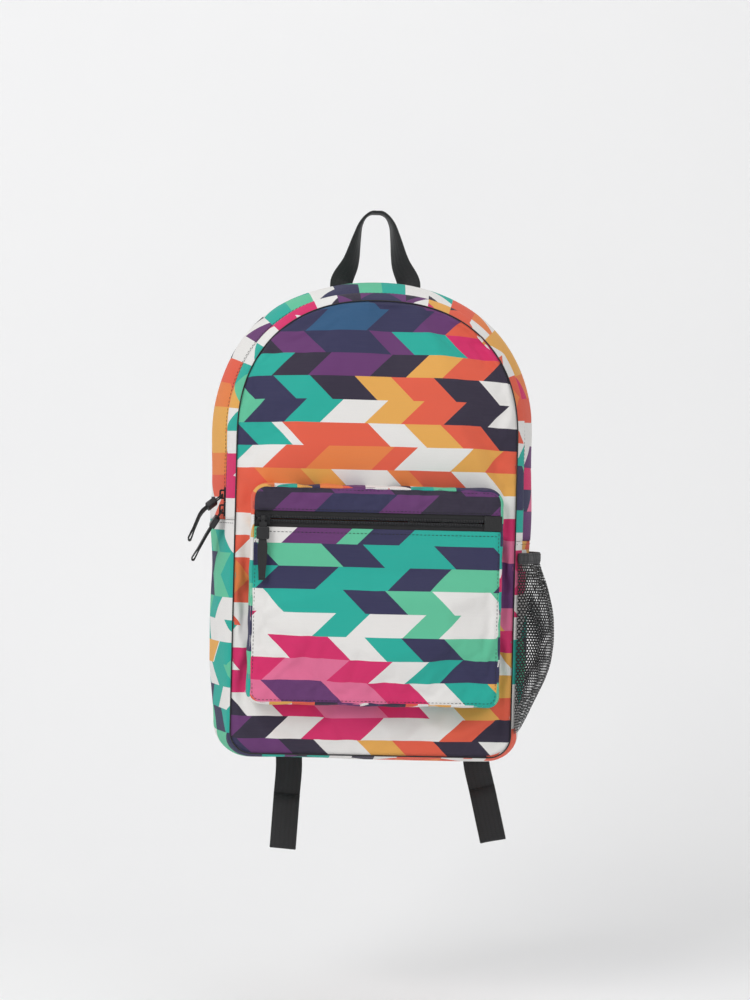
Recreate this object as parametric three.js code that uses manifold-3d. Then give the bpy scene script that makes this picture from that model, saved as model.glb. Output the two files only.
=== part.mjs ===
// A printed daypack, hanging by its haul loop.
// Millimetres. +X is to the viewer's right, the front faces -Y, +Z is up.
// The origin is the underside of the haul loop's top, where a peg would carry the bag.
import * as THREE from 'three';
import { mergeVertices } from 'three/addons/utils/BufferGeometryUtils.js';
import Module from 'manifold-3d';

// Sewing and cloth
const seat = 0.3; // clearance between two pieces that touch
const wall = 1.6; // printed cloth with its lining
const tapeThickness = 0.8;
const webbingThickness = 1.4;
const webbingWidth = 24;

// Main body
const bodyDepth = 105; // front seam to back seam
const frontHalfWidth = 123;
const frontHeight = 397;
const archRise = 121; // height of the arched part of the front panel
const archPower = 2.3; // 2 would be an ellipse, more is squarer
const bottomCorner = 20;
const loopRise = 69; // top of the body to the underside of the haul loop
const stripFlare = 7.5; // how far the main zip stands outside the front seam
const backOutset = 17; // how far the back seam stands outside the front seam
const rearBulge = 8; // belly of the rear zip strip
const lowerBulge = 8; // belly of the lower gusset
const bottomShare = 0.4; // how much of the outset the bottom takes
const cornerShare = 0.72; // how much of it the lower end of a side takes
const taperHeight = 62; // height over which a side draws in above the corner
const leftHemDrop = 194; // top of the arch to the left end of the main zip
const rightHemDrop = 207;
const hemBlend = 48; // height over which the lower gusset fills the zip's valley

// Back
const backThickness = 9;
const backRounding = 4;
const sleeveHeight = 278;
const sleeveThickness = 4;
const sleeveGap = 20; // back panel to the sleeve
const sleeveBindingHeight = 9;
const sleeveBindingWall = 0.8;

// Zips. Heights above are counted from the cloth that the zip is sewn behind.
const zipFromBack = 72; // back seam to the middle of the main zip
const hemToHem = 13.6;
const tapeSewn = 6; // tape hidden behind each hem
const postGap = 0.6; // middle of the chain to the inner end of a coil's teeth
const coilHalfWidth = 3.1;
const coilThickness = 2;
const coilToothDepth = 0.8;
const mainToothPitch = 5;
const pocketToothPitch = 2.8;
const coilEndGap = 1.5;

// Slider
const sliderLength = 12.5;
const sliderHalfWidth = 4.7;
const shoulderHalfWidth = 5.3;
const sliderPlate = 1.1;
const sliderClearance = 0.4;
const postThickness = 0.5;
const bridgeWidth = 2;
const bridgeBar = 1.6;
const bridgeEye = 2.4;
const bridgeLegWidth = 1.6;
const bridgeSpan = 5.4;

// Zip pull
const pullLength = 52.6;
const blockStart = 7.2;
const blockLength = 10.4;
const blockWidth = 11;
const blockThickness = 5.2;
const blockRounding = 1.2;
const neckHalfWidth = 3.3;
const neckThickness = 2.2;
const pullTape = 0.9;
const pullTapeGap = 0.4;
const tailHalfWidth = 4.2;
const tipHalfWidth = 2.8;
const tipLoopRadius = 1.3;
const ringHalfWidth = 1.7;
const ringInner = 1.6;

// Where the sliders are parked
const lowerSliderRise = 8.8; // left end of the zip to the lower slider's middle
const slidersApart = 13;
const pivotDrop = 1.1; // a main pull's pivot below its slider's middle
const upperPullTilt = 50; // degrees out from hanging straight down
const lowerPullTilt = 31;
const upperPullYaw = 20; // degrees towards the front
const lowerPullYaw = -14;
const upperPullBend = 30;
const lowerPullBend = 4;

// Front pocket
const pocketHalfWidth = 107.5;
const pocketTopDrop = 163; // top of the arch to the top of the pocket
const pocketHeight = 187;
const pocketDepth = 30;
const pocketTopCorner = 12;
const pocketBottomCorner = 9;
const pocketZipDrop = 29; // top of the pocket to the middle of its zip
const endPatchLength = 16;
const pocketSliderInset = 9.2;

// Haul loop
const haulWidth = 22;
const haulThickness = 2;
const haulHalfSpread = 27;
const haulShoulder = 15;
const haulShoulderDrop = 13;
const haulTwistPower = 0.7; // below 1 the legs turn sooner

// Shoulder straps
const strapThickness = 9;
const strapWidth = 60;
const strapEndWidth = 30;
const strapBow = 23; // how far the strap stands off the back panel
const strapTopOffset = 50;
const strapTopWidth = 56;
const strapTopThickness = 3.2; // the padding stops short of the sewn end
const sewnShare = 0.085; // the part of a strap's length that is left flat to be sewn
const strapBandWidth = 18; // webbing sewn over both strap ends
const strapBandSlope = 8;
const lockDrop = 413; // haul loop to the ladder lock's middle bar
const strapToLock = 25;
const lockStandOff = 13; // back panel to the ladder lock's middle plane
const lockSlotRoom = 1.2; // beside the webbing
const lockSideBar = 3.8;
const lockSlotHalfWidth = webbingWidth / 2 + lockSlotRoom;
const lockHalfWidth = lockSlotHalfWidth + lockSideBar;
const lockBar = 3;
const lockBarPitch = 12.5;
const lockBevel = 0.6;
const webbingTurn = 2.8;
const foldLength = 49;
const anchorBaseWidth = 40;
const anchorLength = 38;
const anchorThickness = 2.2;
const anchorInset = 14;

// The bag hung a little askew, so its two straps do not match. A lock leans by degrees.
const leftStrap = { side: -1, lock: 74, lean: 5, tailTop: 67, tailEnd: 71, tailDrop: 580 };
const rightStrap = { side: 1, lock: 96, lean: 10, tailTop: 105, tailEnd: 122, tailDrop: 570 };

// Side pocket
const meshThickness = 1;
const meshMouth = 8.5;
const meshBelly = 17;
const meshTopBelowHem = 10;
const meshBindingHeight = 10;
const meshBindingThickness = 1.8;
const meshFloorRise = 2;

// Places that follow from the sizes
const frontTop = -loopRise - backOutset;
const frontBottom = frontTop - frontHeight;
const archStart = frontTop - archRise;
const leftHem = frontTop - leftHemDrop;
const rightHem = frontTop - rightHemDrop;
const frontInner = -bodyDepth + wall;
const zipY = -zipFromBack;
const hemFrontY = zipY - hemToHem / 2;
const hemRearY = zipY + hemToHem / 2;
const cornerStart = frontBottom + bottomCorner;
const tapeOuter = -wall - seat;
const tapeInner = tapeOuter - tapeThickness;
const coilBase = tapeOuter + seat;
const coilTop = coilBase + coilThickness;
const plateBase = coilTop + sliderClearance;
const plateTop = plateBase + sliderPlate;
const eyeTop = plateTop + bridgeEye;
const bridgeTop = eyeTop + bridgeBar;
const backRear = backThickness;

const cloth = { color: 0xd8dad8, roughness: 0.86, metalness: 0 };
const tealCloth = { color: 0x1fb5a6, roughness: 0.86, metalness: 0 };
const plumCloth = { color: 0x6b3d73, roughness: 0.86, metalness: 0 };
const amberCloth = { color: 0xe0a152, roughness: 0.86, metalness: 0 };
const blackWebbing = { color: 0x1c1c1e, roughness: 0.8, metalness: 0 };
const blackTape = { color: 0x232325, roughness: 0.75, metalness: 0 };
const blackPadding = { color: 0x26272a, roughness: 0.9, metalness: 0 };
const blackMesh = { color: 0x1f2022, roughness: 0.7, metalness: 0 };
const greyElastic = { color: 0x4a4b4e, roughness: 0.8, metalness: 0 };
const blackPlastic = { color: 0x1a1a1c, roughness: 0.42, metalness: 0 };
const blackMetal = { color: 0x2a2a2d, roughness: 0.35, metalness: 0.6 };

const wasm = await Module();
wasm.setup();

const model = new THREE.Group();

function addPiece(name, geometry, finish) {
  const mesh = new THREE.Mesh(geometry, new THREE.MeshStandardMaterial(finish));
  mesh.name = name;
  model.add(mesh);
  return mesh;
}

const point = (x, y, z) => new THREE.Vector3(x, y, z);

const mix = (a, b, t) => a + (b - a) * t;

function smooth(t) {
  const s = Math.min(1, Math.max(0, t));
  return s * s * (3 - 2 * s);
}

// Six times the signed volume is summed over the triangles, and an inside-out mesh is turned.
function outward(geometry) {
  const place = geometry.attributes.position;
  const index = geometry.index.array;
  const corner = [point(0, 0, 0), point(0, 0, 0), point(0, 0, 0)];
  let volume = 0;
  for (let i = 0; i < index.length; i += 3) {
    corner.forEach((c, k) => c.fromBufferAttribute(place, index[i + k]));
    volume += corner[0].dot(corner[1].cross(corner[2]));
  }
  if (volume < 0) {
    for (let i = 0; i < index.length; i += 3) {
      [index[i + 1], index[i + 2]] = [index[i + 2], index[i + 1]];
    }
  }
  geometry.computeVertexNormals();
  return geometry;
}

// A strip's end is closed by quads between its outer and inner edge.
function stripCap(count) {
  const faces = [];
  for (let j = 0; j < count / 2 - 1; j++) {
    const k = count - 1 - j;
    faces.push([j, j + 1, k - 1], [j, k - 1, k]);
  }
  return faces;
}

// Any other flat end is triangulated in its own plane, in the ring's own order.
function plateCap(ring) {
  const normal = point(0, 0, 0);
  ring.forEach((p, j) => normal.add(p.clone().cross(ring[(j + 1) % ring.length])));
  normal.normalize();
  const along = ring[1].clone().sub(ring[0]).normalize();
  const across = normal.clone().cross(along);
  const flat = ring.map((p) => new THREE.Vector2(p.dot(along), p.dot(across)));
  return THREE.ShapeUtils.triangulateShape(flat, []).map(([a, b, c]) => {
    const turn = flat[b].clone().sub(flat[a]).cross(flat[c].clone().sub(flat[a]));
    return turn > 0 ? [a, b, c] : [a, c, b];
  });
}

// Joins rings of equal count into one closed skin, capped at both ends unless it runs round.
function loft(rings, cap = 'strip', round = false) {
  const count = rings[0].length;
  const index = [];
  const spans = round ? rings.length : rings.length - 1;
  for (let i = 0; i < spans; i++) {
    const a = i * count;
    const b = ((i + 1) % rings.length) * count;
    for (let j = 0; j < count; j++) {
      const k = (j + 1) % count;
      index.push(a + j, b + j, b + k, a + j, b + k, a + k);
    }
  }
  if (!round) {
    const last = (rings.length - 1) * count;
    const start = cap === 'strip' ? stripCap(count) : plateCap(rings[0]);
    const end = cap === 'strip' ? stripCap(count) : plateCap(rings[rings.length - 1]);
    start.forEach(([p, q, r]) => index.push(p, q, r));
    end.forEach(([p, q, r]) => index.push(last + p, last + r, last + q));
  }
  const geometry = new THREE.BufferGeometry();
  const flat = rings.flat().flatMap((p) => [p.x, p.y, p.z]);
  geometry.setAttribute('position', new THREE.Float32BufferAttribute(flat, 3));
  geometry.setIndex(new THREE.BufferAttribute(Uint32Array.from(index), 1));
  return outward(geometry);
}

function toManifold(geometry) {
  const bare = geometry.clone();
  bare.deleteAttribute('normal');
  bare.deleteAttribute('uv');
  const merged = mergeVertices(bare, 1e-4);
  return new wasm.Manifold(new wasm.Mesh({
    numProp: 3,
    vertProperties: Float32Array.from(merged.attributes.position.array),
    triVerts: Uint32Array.from(merged.index.array),
  }));
}

function fromManifold(solid) {
  const mesh = solid.getMesh();
  const geometry = new THREE.BufferGeometry();
  geometry.setAttribute('position', new THREE.Float32BufferAttribute(mesh.vertProperties, 3));
  geometry.setIndex(new THREE.BufferAttribute(Uint32Array.from(mesh.triVerts), 1));
  geometry.computeVertexNormals();
  return geometry;
}

function block(low, high) {
  const size = [0, 1, 2].map((k) => high[k] - low[k]);
  const middle = [0, 1, 2].map((k) => (high[k] + low[k]) / 2);
  return new THREE.BoxGeometry(...size).translate(...middle);
}

function roundedRectangle(halfWidth, low, high, radius) {
  const shape = new THREE.Shape();
  shape.moveTo(-halfWidth + radius, low);
  shape.lineTo(halfWidth - radius, low);
  shape.absarc(halfWidth - radius, low + radius, radius, -Math.PI / 2, 0);
  shape.lineTo(halfWidth, high - radius);
  shape.absarc(halfWidth - radius, high - radius, radius, 0, Math.PI / 2);
  shape.lineTo(-halfWidth + radius, high);
  shape.absarc(-halfWidth + radius, high - radius, radius, Math.PI / 2, Math.PI);
  shape.lineTo(-halfWidth, low + radius);
  shape.absarc(-halfWidth + radius, low + radius, radius, Math.PI, 1.5 * Math.PI);
  return shape;
}

// Extrudes a shape drawn in X and Z along Y, from nearY to farY.
function extrudeAlongY(shape, nearY, farY, curveSegments = 4) {
  const geometry = new THREE.ExtrudeGeometry(shape, {
    depth: farY - nearY,
    bevelEnabled: false,
    curveSegments,
  });
  return geometry.rotateX(Math.PI / 2).translate(0, farY, 0);
}

// The body's outline. Each place has its outward direction and its share of the outset.
function sideAt(side, z) {
  const share = mix(cornerShare, 1, smooth((z - cornerStart) / taperHeight));
  return { x: side * frontHalfWidth, z, nx: side, nz: 0, share };
}

function archAt(angle) {
  const c = Math.cos(angle);
  const s = Math.sin(angle);
  const x = frontHalfWidth * Math.sign(c) * Math.abs(c) ** (2 / archPower);
  const rise = archRise * Math.abs(s) ** (2 / archPower);
  const nx = Math.sign(c) * (Math.abs(x) / frontHalfWidth) ** (archPower - 1) / frontHalfWidth;
  const nz = (rise / archRise) ** (archPower - 1) / archRise;
  const length = Math.hypot(nx, nz);
  return { x, z: archStart + rise, nx: nx / length, nz: nz / length, share: 1 };
}

// Angle 0 is the side, 90 the bottom.
function cornerAt(side, degrees) {
  const angle = THREE.MathUtils.degToRad(degrees);
  const nx = side * Math.cos(angle);
  const nz = -Math.sin(angle);
  return {
    x: side * (frontHalfWidth - bottomCorner) + nx * bottomCorner,
    z: cornerStart + nz * bottomCorner,
    nx,
    nz,
    share: mix(cornerShare, bottomShare, smooth(degrees / 90)),
  };
}

const archSteps = 26;

function archLine() {
  const line = [];
  for (let i = 0; i <= archSteps; i++) line.push(archAt(Math.PI * (1 - i / archSteps)));
  return line;
}

function cornerLine(side, steps = 5) {
  const line = [];
  for (let i = 0; i <= steps; i++) line.push(cornerAt(side, (90 * i) / steps));
  return line;
}

// From the left end of the main zip over the top to its right end.
function zipLine(below = 0) {
  const left = [sideAt(-1, leftHem - below), sideAt(-1, mix(leftHem, archStart, 0.5))];
  const right = [sideAt(1, mix(rightHem, archStart, 0.5)), sideAt(1, rightHem - below)];
  return [...left, ...archLine(), ...right];
}

// The heights at which a side is sampled where it draws in above the bottom corner.
const taperHeights = [1, 0.8, 0.6, 0.4, 0.2].map((t) => cornerStart + t * taperHeight);

// The heights at which the sides are sampled below a hem, closer where the zip's valley fills.
function sideHeights(hem) {
  return [...[0, 0.2, 0.4, 0.6, 0.8, 1].map((t) => hem - t * hemBlend), ...taperHeights];
}

// From a height on the left side, round the bottom, to a height on the right side.
function lowerLine() {
  const left = [leftHem - seat, ...sideHeights(leftHem).slice(1)].map((z) => sideAt(-1, z));
  const right = [rightHem - seat, ...sideHeights(rightHem).slice(1)].map((z) => sideAt(1, z));
  return [...left, ...cornerLine(-1), ...cornerLine(1).reverse(), ...right.reverse()];
}

function panelLine(heights = []) {
  const sides = (side) => heights.map((z) => sideAt(side, z));
  return [...archLine(), ...sides(1), ...cornerLine(1), ...cornerLine(-1).reverse(), ...sides(-1).reverse()];
}

const along = (y, start, end) => Math.min(1, Math.max(0, (y - start) / (end - start)));

// How far the zip strips stand outside the front seam at a depth.
function stripOutset(y) {
  if (y <= hemFrontY) return stripFlare * smooth(along(y, frontInner, hemFrontY - tapeSewn));
  const t = along(y, hemRearY, 0);
  return mix(stripFlare, backOutset, t) + rearBulge * 4 * t * (1 - t);
}

function lowerOutset(y) {
  const t = along(y, frontInner, 0);
  return backOutset * t + lowerBulge * 4 * t * (1 - t);
}

// The outset of the whole body at a place on the outline.
function bodyOutset(place, y) {
  const hem = place.x < 0 ? leftHem : rightHem;
  const t = smooth((hem - place.z) / hemBlend);
  return place.share * mix(stripOutset(y), lowerOutset(y), t);
}

function offset(place, out, y) {
  return point(place.x + place.nx * out, y, place.z + place.nz * out);
}

// A sewn strip between two depths, one wall thick.
function gussetStrip(line, depths, outset) {
  return loft(line.map((place) => [
    ...depths.map((y) => offset(place, outset(place, y), y)),
    ...[...depths].reverse().map((y) => offset(place, outset(place, y) - wall, y)),
  ]));
}

function depthSteps(near, far, steps) {
  return Array.from({ length: steps + 1 }, (_, i) => mix(near, far, i / steps));
}

function addBody() {
  const front = panelLine();
  addPiece('front_panel', loft([
    front.map((place) => offset(place, 0, -bodyDepth)),
    front.map((place) => offset(place, 0, frontInner)),
  ], 'plate'), cloth);

  const onStrip = (place, y) => stripOutset(y);
  const frontDepths = [frontInner + seat, mix(frontInner, hemFrontY, 0.45),
    hemFrontY - tapeSewn - 1, hemFrontY];
  addPiece('front_zip_strip', gussetStrip(zipLine(), frontDepths, onStrip), tealCloth);
  const rearDepths = depthSteps(hemRearY, -seat, 6);
  addPiece('rear_zip_strip', gussetStrip(zipLine(), rearDepths, onStrip), plumCloth);

  const lowerDepths = [...frontDepths, ...depthSteps(hemRearY, -seat, 5)];
  addPiece('lower_gusset', gussetStrip(lowerLine(), lowerDepths, bodyOutset), amberCloth);

  const back = panelLine(taperHeights);
  const rear = (inset, y) => back.map((p) => offset(p, backOutset * p.share - inset, y));
  addPiece('back_panel', loft([
    rear(0, 0),
    rear(0, backThickness - backRounding),
    rear(backRounding * 0.3, backThickness - backRounding * 0.3),
    rear(backRounding, backThickness),
  ], 'plate'), blackPadding);
}

function addSleeve() {
  const sleeveTop = frontBottom + sleeveHeight;
  const rearY = -sleeveGap;
  const frontY = rearY - sleeveThickness;
  const sides = (hem) => [sleeveTop, ...sideHeights(hem).filter((z) => z < sleeveTop)];
  const outline = (y) => [
    ...sides(leftHem).map((z) => sideAt(-1, z)),
    ...cornerLine(-1),
    ...cornerLine(1).reverse(),
    ...sides(rightHem).reverse().map((z) => sideAt(1, z)),
  ].map((p) => offset(p, bodyOutset(p, y) - wall - 2 * seat, y));
  addPiece('laptop_sleeve', loft([outline(frontY), outline(rearY)], 'plate'), blackPadding);

  const out = sleeveBindingWall + seat;
  const halfSpan = frontHalfWidth + stripOutset(frontY) - wall - 2 * seat - 1;
  const profile = new THREE.Shape([
    new THREE.Vector2(frontY - out, sleeveTop - sleeveBindingHeight),
    new THREE.Vector2(frontY - seat, sleeveTop - sleeveBindingHeight),
    new THREE.Vector2(frontY - seat, sleeveTop + seat),
    new THREE.Vector2(rearY + seat, sleeveTop + seat),
    new THREE.Vector2(rearY + seat, sleeveTop - sleeveBindingHeight),
    new THREE.Vector2(rearY + out, sleeveTop - sleeveBindingHeight),
    new THREE.Vector2(rearY + out, sleeveTop + out),
    new THREE.Vector2(frontY - out, sleeveTop + out),
  ]);
  const binding = new THREE.ExtrudeGeometry(profile, { depth: 2 * halfSpan, bevelEnabled: false });
  binding.applyMatrix4(new THREE.Matrix4().makeBasis(point(0, 1, 0), point(0, 0, 1), point(1, 0, 0)));
  addPiece('laptop_sleeve_binding', binding.translate(-halfSpan, 0, 0), blackTape);
}

// Points at an even step along a line, with the first and last kept.
function evenPoints(line, step) {
  const curve = new THREE.CurvePath();
  for (let i = 1; i < line.length; i++) curve.add(new THREE.LineCurve3(line[i - 1], line[i]));
  const count = Math.max(2, Math.round(curve.getLength() / step));
  return curve.getSpacedPoints(count);
}

// One half of a zip's chain: a bead whose inner side is toothed.
// across(side, height, at) gives a place beside the chain's middle at a height.
function coilHalf(places, side, section) {
  const rings = places.map((place, i) => {
    const tooth = (i + (side > 0 ? 1 : 0)) % 2 === 0;
    const inner = side * (tooth ? postGap : postGap + coilToothDepth);
    const outer = side * coilHalfWidth;
    return [
      section(place, inner, coilBase),
      section(place, inner, coilTop),
      section(place, outer, coilTop),
      section(place, outer, coilBase),
    ];
  });
  return loft(rings);
}

// The main zip's line is walked in small even steps, and its outward direction with it.
function evenZipLine(step) {
  const line = zipLine(-coilEndGap).map((p) => ({ ...p, at: offset(p, stripFlare, zipY) }));
  const lengths = [0];
  for (let i = 1; i < line.length; i++) {
    lengths.push(lengths[i - 1] + line[i].at.distanceTo(line[i - 1].at));
  }
  const total = lengths[lengths.length - 1];
  const count = Math.round(total / step);
  const places = [];
  let k = 1;
  for (let i = 0; i <= count; i++) {
    const s = (total * i) / count;
    while (k < line.length - 1 && lengths[k] < s) k++;
    const t = (s - lengths[k - 1]) / (lengths[k] - lengths[k - 1]);
    const at = line[k - 1].at.clone().lerp(line[k].at, t);
    const out = point(mix(line[k - 1].nx, line[k].nx, t), 0, mix(line[k - 1].nz, line[k].nz, t));
    places.push({ at, out: out.normalize() });
  }
  return places;
}

function addMainZip() {
  const taped = zipLine(tapeSewn);
  const tape = (near, far) => loft(taped.map((p) => [
    offset(p, stripFlare + tapeOuter, near),
    offset(p, stripFlare + tapeOuter, far),
    offset(p, stripFlare + tapeInner, far),
    offset(p, stripFlare + tapeInner, near),
  ]));
  addPiece('main_zip_front_tape', tape(hemFrontY - tapeSewn, zipY - postGap), blackTape);
  addPiece('main_zip_rear_tape', tape(zipY + postGap, hemRearY + tapeSewn), blackTape);

  const places = evenZipLine(mainToothPitch / 2);
  const section = (place, across, height) => place.at.clone()
    .addScaledVector(place.out, height)
    .add(point(0, across, 0));
  addPiece('main_zip_front_coil', coilHalf(places, -1, section), blackPlastic);
  addPiece('main_zip_rear_coil', coilHalf(places, 1, section), blackPlastic);
}

// A slider along local X with its nose at +X, local Z away from the cloth's face at height 0.
function sliderGeometry() {
  const half = sliderLength / 2;
  const outline = new THREE.Shape();
  outline.moveTo(-half, -sliderHalfWidth + 0.8);
  outline.quadraticCurveTo(-half, -sliderHalfWidth, -half + 1, -sliderHalfWidth);
  outline.lineTo(0, -sliderHalfWidth);
  outline.quadraticCurveTo(half * 0.45, -shoulderHalfWidth, half * 0.7, -shoulderHalfWidth);
  outline.quadraticCurveTo(half, -shoulderHalfWidth, half, -shoulderHalfWidth * 0.55);
  outline.lineTo(half - 1, 0);
  outline.lineTo(half, shoulderHalfWidth * 0.55);
  outline.quadraticCurveTo(half, shoulderHalfWidth, half * 0.7, shoulderHalfWidth);
  outline.quadraticCurveTo(half * 0.45, shoulderHalfWidth, 0, sliderHalfWidth);
  outline.lineTo(-half + 1, sliderHalfWidth);
  outline.quadraticCurveTo(-half, sliderHalfWidth, -half, sliderHalfWidth - 0.8);
  const plate = (low, high) => new THREE.ExtrudeGeometry(outline, {
    depth: high - low,
    bevelEnabled: false,
    curveSegments: 3,
  }).translate(0, 0, low);

  const flangeBase = tapeOuter + sliderClearance;
  const channel = coilHalfWidth + sliderClearance;
  const bottomTop = tapeInner - sliderClearance;
  let solid = toManifold(plate(flangeBase, plateTop));
  const tunnel = block([-half - 1, -channel, flangeBase - 1], [half + 1, channel, plateBase]);
  solid = solid.subtract(toManifold(tunnel));
  solid = solid.add(toManifold(plate(bottomTop - sliderPlate, bottomTop)));
  const post = block([half - 5, -postThickness / 2, bottomTop - sliderPlate / 2],
    [half - 1.4, postThickness / 2, plateTop - sliderPlate / 2]);
  solid = solid.add(toManifold(post));

  const legOut = bridgeSpan / 2 + bridgeLegWidth;
  const arch = new THREE.Shape();
  arch.moveTo(-legOut, plateTop - sliderPlate / 2);
  arch.lineTo(legOut, plateTop - sliderPlate / 2);
  arch.lineTo(legOut, eyeTop);
  arch.quadraticCurveTo(legOut - 0.3, bridgeTop, legOut - bridgeBar, bridgeTop);
  arch.lineTo(-legOut + bridgeBar, bridgeTop);
  arch.quadraticCurveTo(-legOut + 0.3, bridgeTop, -legOut, eyeTop);
  const eye = new THREE.Path();
  eye.moveTo(-bridgeSpan / 2, plateTop);
  eye.lineTo(bridgeSpan / 2, plateTop);
  eye.lineTo(bridgeSpan / 2, eyeTop - 0.6);
  eye.quadraticCurveTo(bridgeSpan / 2, eyeTop, bridgeSpan / 2 - 0.6, eyeTop);
  eye.lineTo(-bridgeSpan / 2 + 0.6, eyeTop);
  eye.quadraticCurveTo(-bridgeSpan / 2, eyeTop, -bridgeSpan / 2, eyeTop - 0.6);
  arch.holes.push(eye);
  const bridge = new THREE.ExtrudeGeometry(arch, {
    depth: bridgeWidth,
    bevelEnabled: false,
    curveSegments: 3,
  }).rotateX(Math.PI / 2).translate(0, bridgeWidth / 2, 0);
  return fromManifold(solid.add(toManifold(bridge)));
}

// A pull in its own frame: the pivot is the origin and runs along X, the pull hangs to -Z,
// and its outer face looks to -Y. Its tape is folded double, and the two layers part in a loop.
function pullTapeGeometry(head, bend) {
  const bendStart = blockStart + blockLength;
  const bendLength = 14;
  const steps = 40;
  const centre = [{ s: 0, y: 0, z: 0, angle: 0 }];
  for (let i = 1; i <= steps; i++) {
    const s = (pullLength * i) / steps;
    const before = centre[i - 1];
    const angle = THREE.MathUtils.degToRad(bend) * smooth((s - bendStart) / bendLength);
    const ds = s - before.s;
    centre.push({ s, y: before.y + Math.sin(angle) * ds, z: before.z - Math.cos(angle) * ds, angle });
  }
  const at = (s, out) => {
    const i = Math.min(steps - 1, Math.floor((s / pullLength) * steps));
    const t = (s - centre[i].s) / (centre[i + 1].s - centre[i].s);
    const angle = mix(centre[i].angle, centre[i + 1].angle, t);
    const y = mix(centre[i].y, centre[i + 1].y, t) - Math.cos(angle) * out;
    const z = mix(centre[i].z, centre[i + 1].z, t) - Math.sin(angle) * out;
    return point(0, y, z);
  };
  const layer = (pullTape + pullTapeGap) / 2;
  const loopStart = pullLength - 13;
  const tipStart = pullLength - tipLoopRadius - pullTape / 2;
  const route = [];
  const layerSteps = 9;
  for (let i = 0; i <= layerSteps; i++) {
    const s = mix(blockStart + 2, tipStart, i / layerSteps);
    route.push({ s, out: mix(layer, tipLoopRadius, smooth((s - loopStart) / (tipStart - loopStart))) });
  }
  const path = [...route.map(({ s, out }) => ({ s, out }))];
  for (const turn of [45, 90, 135]) {
    const angle = THREE.MathUtils.degToRad(turn);
    path.push({ s: tipStart + tipLoopRadius * Math.sin(angle), out: tipLoopRadius * Math.cos(angle) });
  }
  path.push(...[...route].reverse().map(({ s, out }) => ({ s, out: -out })));
  const spots = path.map(({ s, out }) => at(Math.min(s, pullLength), out));
  const halfWidth = (s) => {
    const below = mix(neckHalfWidth, tailHalfWidth, smooth((s - bendStart - 0.6) / 2));
    return mix(below, tipHalfWidth, smooth((s - pullLength * 0.55) / (pullLength * 0.45)));
  };
  const rings = spots.map((spot, i) => {
    const tangent = spots[Math.min(i + 1, spots.length - 1)].clone()
      .sub(spots[Math.max(i - 1, 0)])
      .normalize();
    const outOf = point(1, 0, 0).cross(tangent).multiplyScalar(pullTape / 2);
    const width = halfWidth(path[i].s);
    return [
      spot.clone().add(outOf).add(point(width, 0, 0)),
      spot.clone().add(outOf).add(point(-width, 0, 0)),
      spot.clone().sub(outOf).add(point(-width, 0, 0)),
      spot.clone().sub(outOf).add(point(width, 0, 0)),
    ];
  });
  const tail = toManifold(loft(rings));

  const neckEnd = -blockStart - 4;
  let top;
  if (head === 'ring') {
    const ring = new THREE.Shape();
    ring.absarc(0, 0, ringInner + pullTape, 0, 2 * Math.PI);
    const hole = new THREE.Path();
    hole.absarc(0, 0, ringInner, 0, 2 * Math.PI, true);
    ring.holes.push(hole);
    const band = new THREE.ExtrudeGeometry(ring, {
      depth: 2 * ringHalfWidth,
      bevelEnabled: false,
      curveSegments: 16,
    }).rotateY(Math.PI / 2).translate(-ringHalfWidth, 0, 0);
    const neck = block([-neckHalfWidth, -neckThickness / 2, neckEnd],
      [neckHalfWidth, neckThickness / 2, -ringInner - pullTape - 0.6]);
    const throat = block([-ringHalfWidth, -neckThickness / 2, -ringInner - pullTape - 1],
      [ringHalfWidth, neckThickness / 2, -ringInner - pullTape / 2]);
    top = toManifold(band).add(toManifold(neck)).add(toManifold(throat));
  } else {
    const strand = 1.2;
    const window = neckHalfWidth - 1;
    const frame = new THREE.Shape([
      new THREE.Vector2(-neckHalfWidth, neckEnd),
      new THREE.Vector2(neckHalfWidth, neckEnd),
      new THREE.Vector2(neckHalfWidth, strand / 2),
      new THREE.Vector2(-neckHalfWidth, strand / 2),
    ]);
    frame.holes.push(new THREE.Path([
      new THREE.Vector2(-window, -blockStart + 0.4),
      new THREE.Vector2(-window, -strand / 2),
      new THREE.Vector2(window, -strand / 2),
      new THREE.Vector2(window, -blockStart + 0.4),
    ]));
    const flat = extrudeAlongY(frame, -strand / 2, strand / 2);
    const heart = block([-neckHalfWidth, -neckThickness / 2, neckEnd],
      [neckHalfWidth, neckThickness / 2, -blockStart - 0.5]);
    top = toManifold(flat).add(toManifold(heart));
  }
  return fromManifold(top.add(tail));
}

// The moulded block has a slot right through, and the tape is drawn through it.
function pullBlockGeometry() {
  const shape = roundedRectangle(blockWidth / 2, -blockStart - blockLength, -blockStart, blockRounding);
  const outer = new THREE.ExtrudeGeometry(shape, {
    depth: blockThickness - 1.2,
    bevelEnabled: true,
    bevelThickness: 0.6,
    bevelSize: 0.6,
    bevelOffset: -0.6,
    bevelSegments: 1,
    curveSegments: 2,
  }).rotateX(Math.PI / 2).translate(0, blockThickness / 2 - 0.6, 0);
  const slot = block([-neckHalfWidth - seat, -neckThickness / 2 - seat, -blockStart - blockLength - 1],
    [neckHalfWidth + seat, neckThickness / 2 + seat, -blockStart + 1]);
  return fromManifold(toManifold(outer).subtract(toManifold(slot)));
}

// Turns a slider's local axes (nose, across, out) to the world's.
function sliderMatrix(nose, out, at) {
  return new THREE.Matrix4().makeBasis(nose, out.clone().cross(nose), out).setPosition(at);
}

function addSlider(name, nose, out, at) {
  addPiece(name, sliderGeometry().applyMatrix4(sliderMatrix(nose, out, at)), blackMetal);
}

function addPull(name, head, bend, matrix) {
  addPiece(`${name}_tape`, pullTapeGeometry(head, bend).applyMatrix4(matrix), blackWebbing);
  addPiece(`${name}_block`, pullBlockGeometry().applyMatrix4(matrix), blackPlastic);
}

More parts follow.
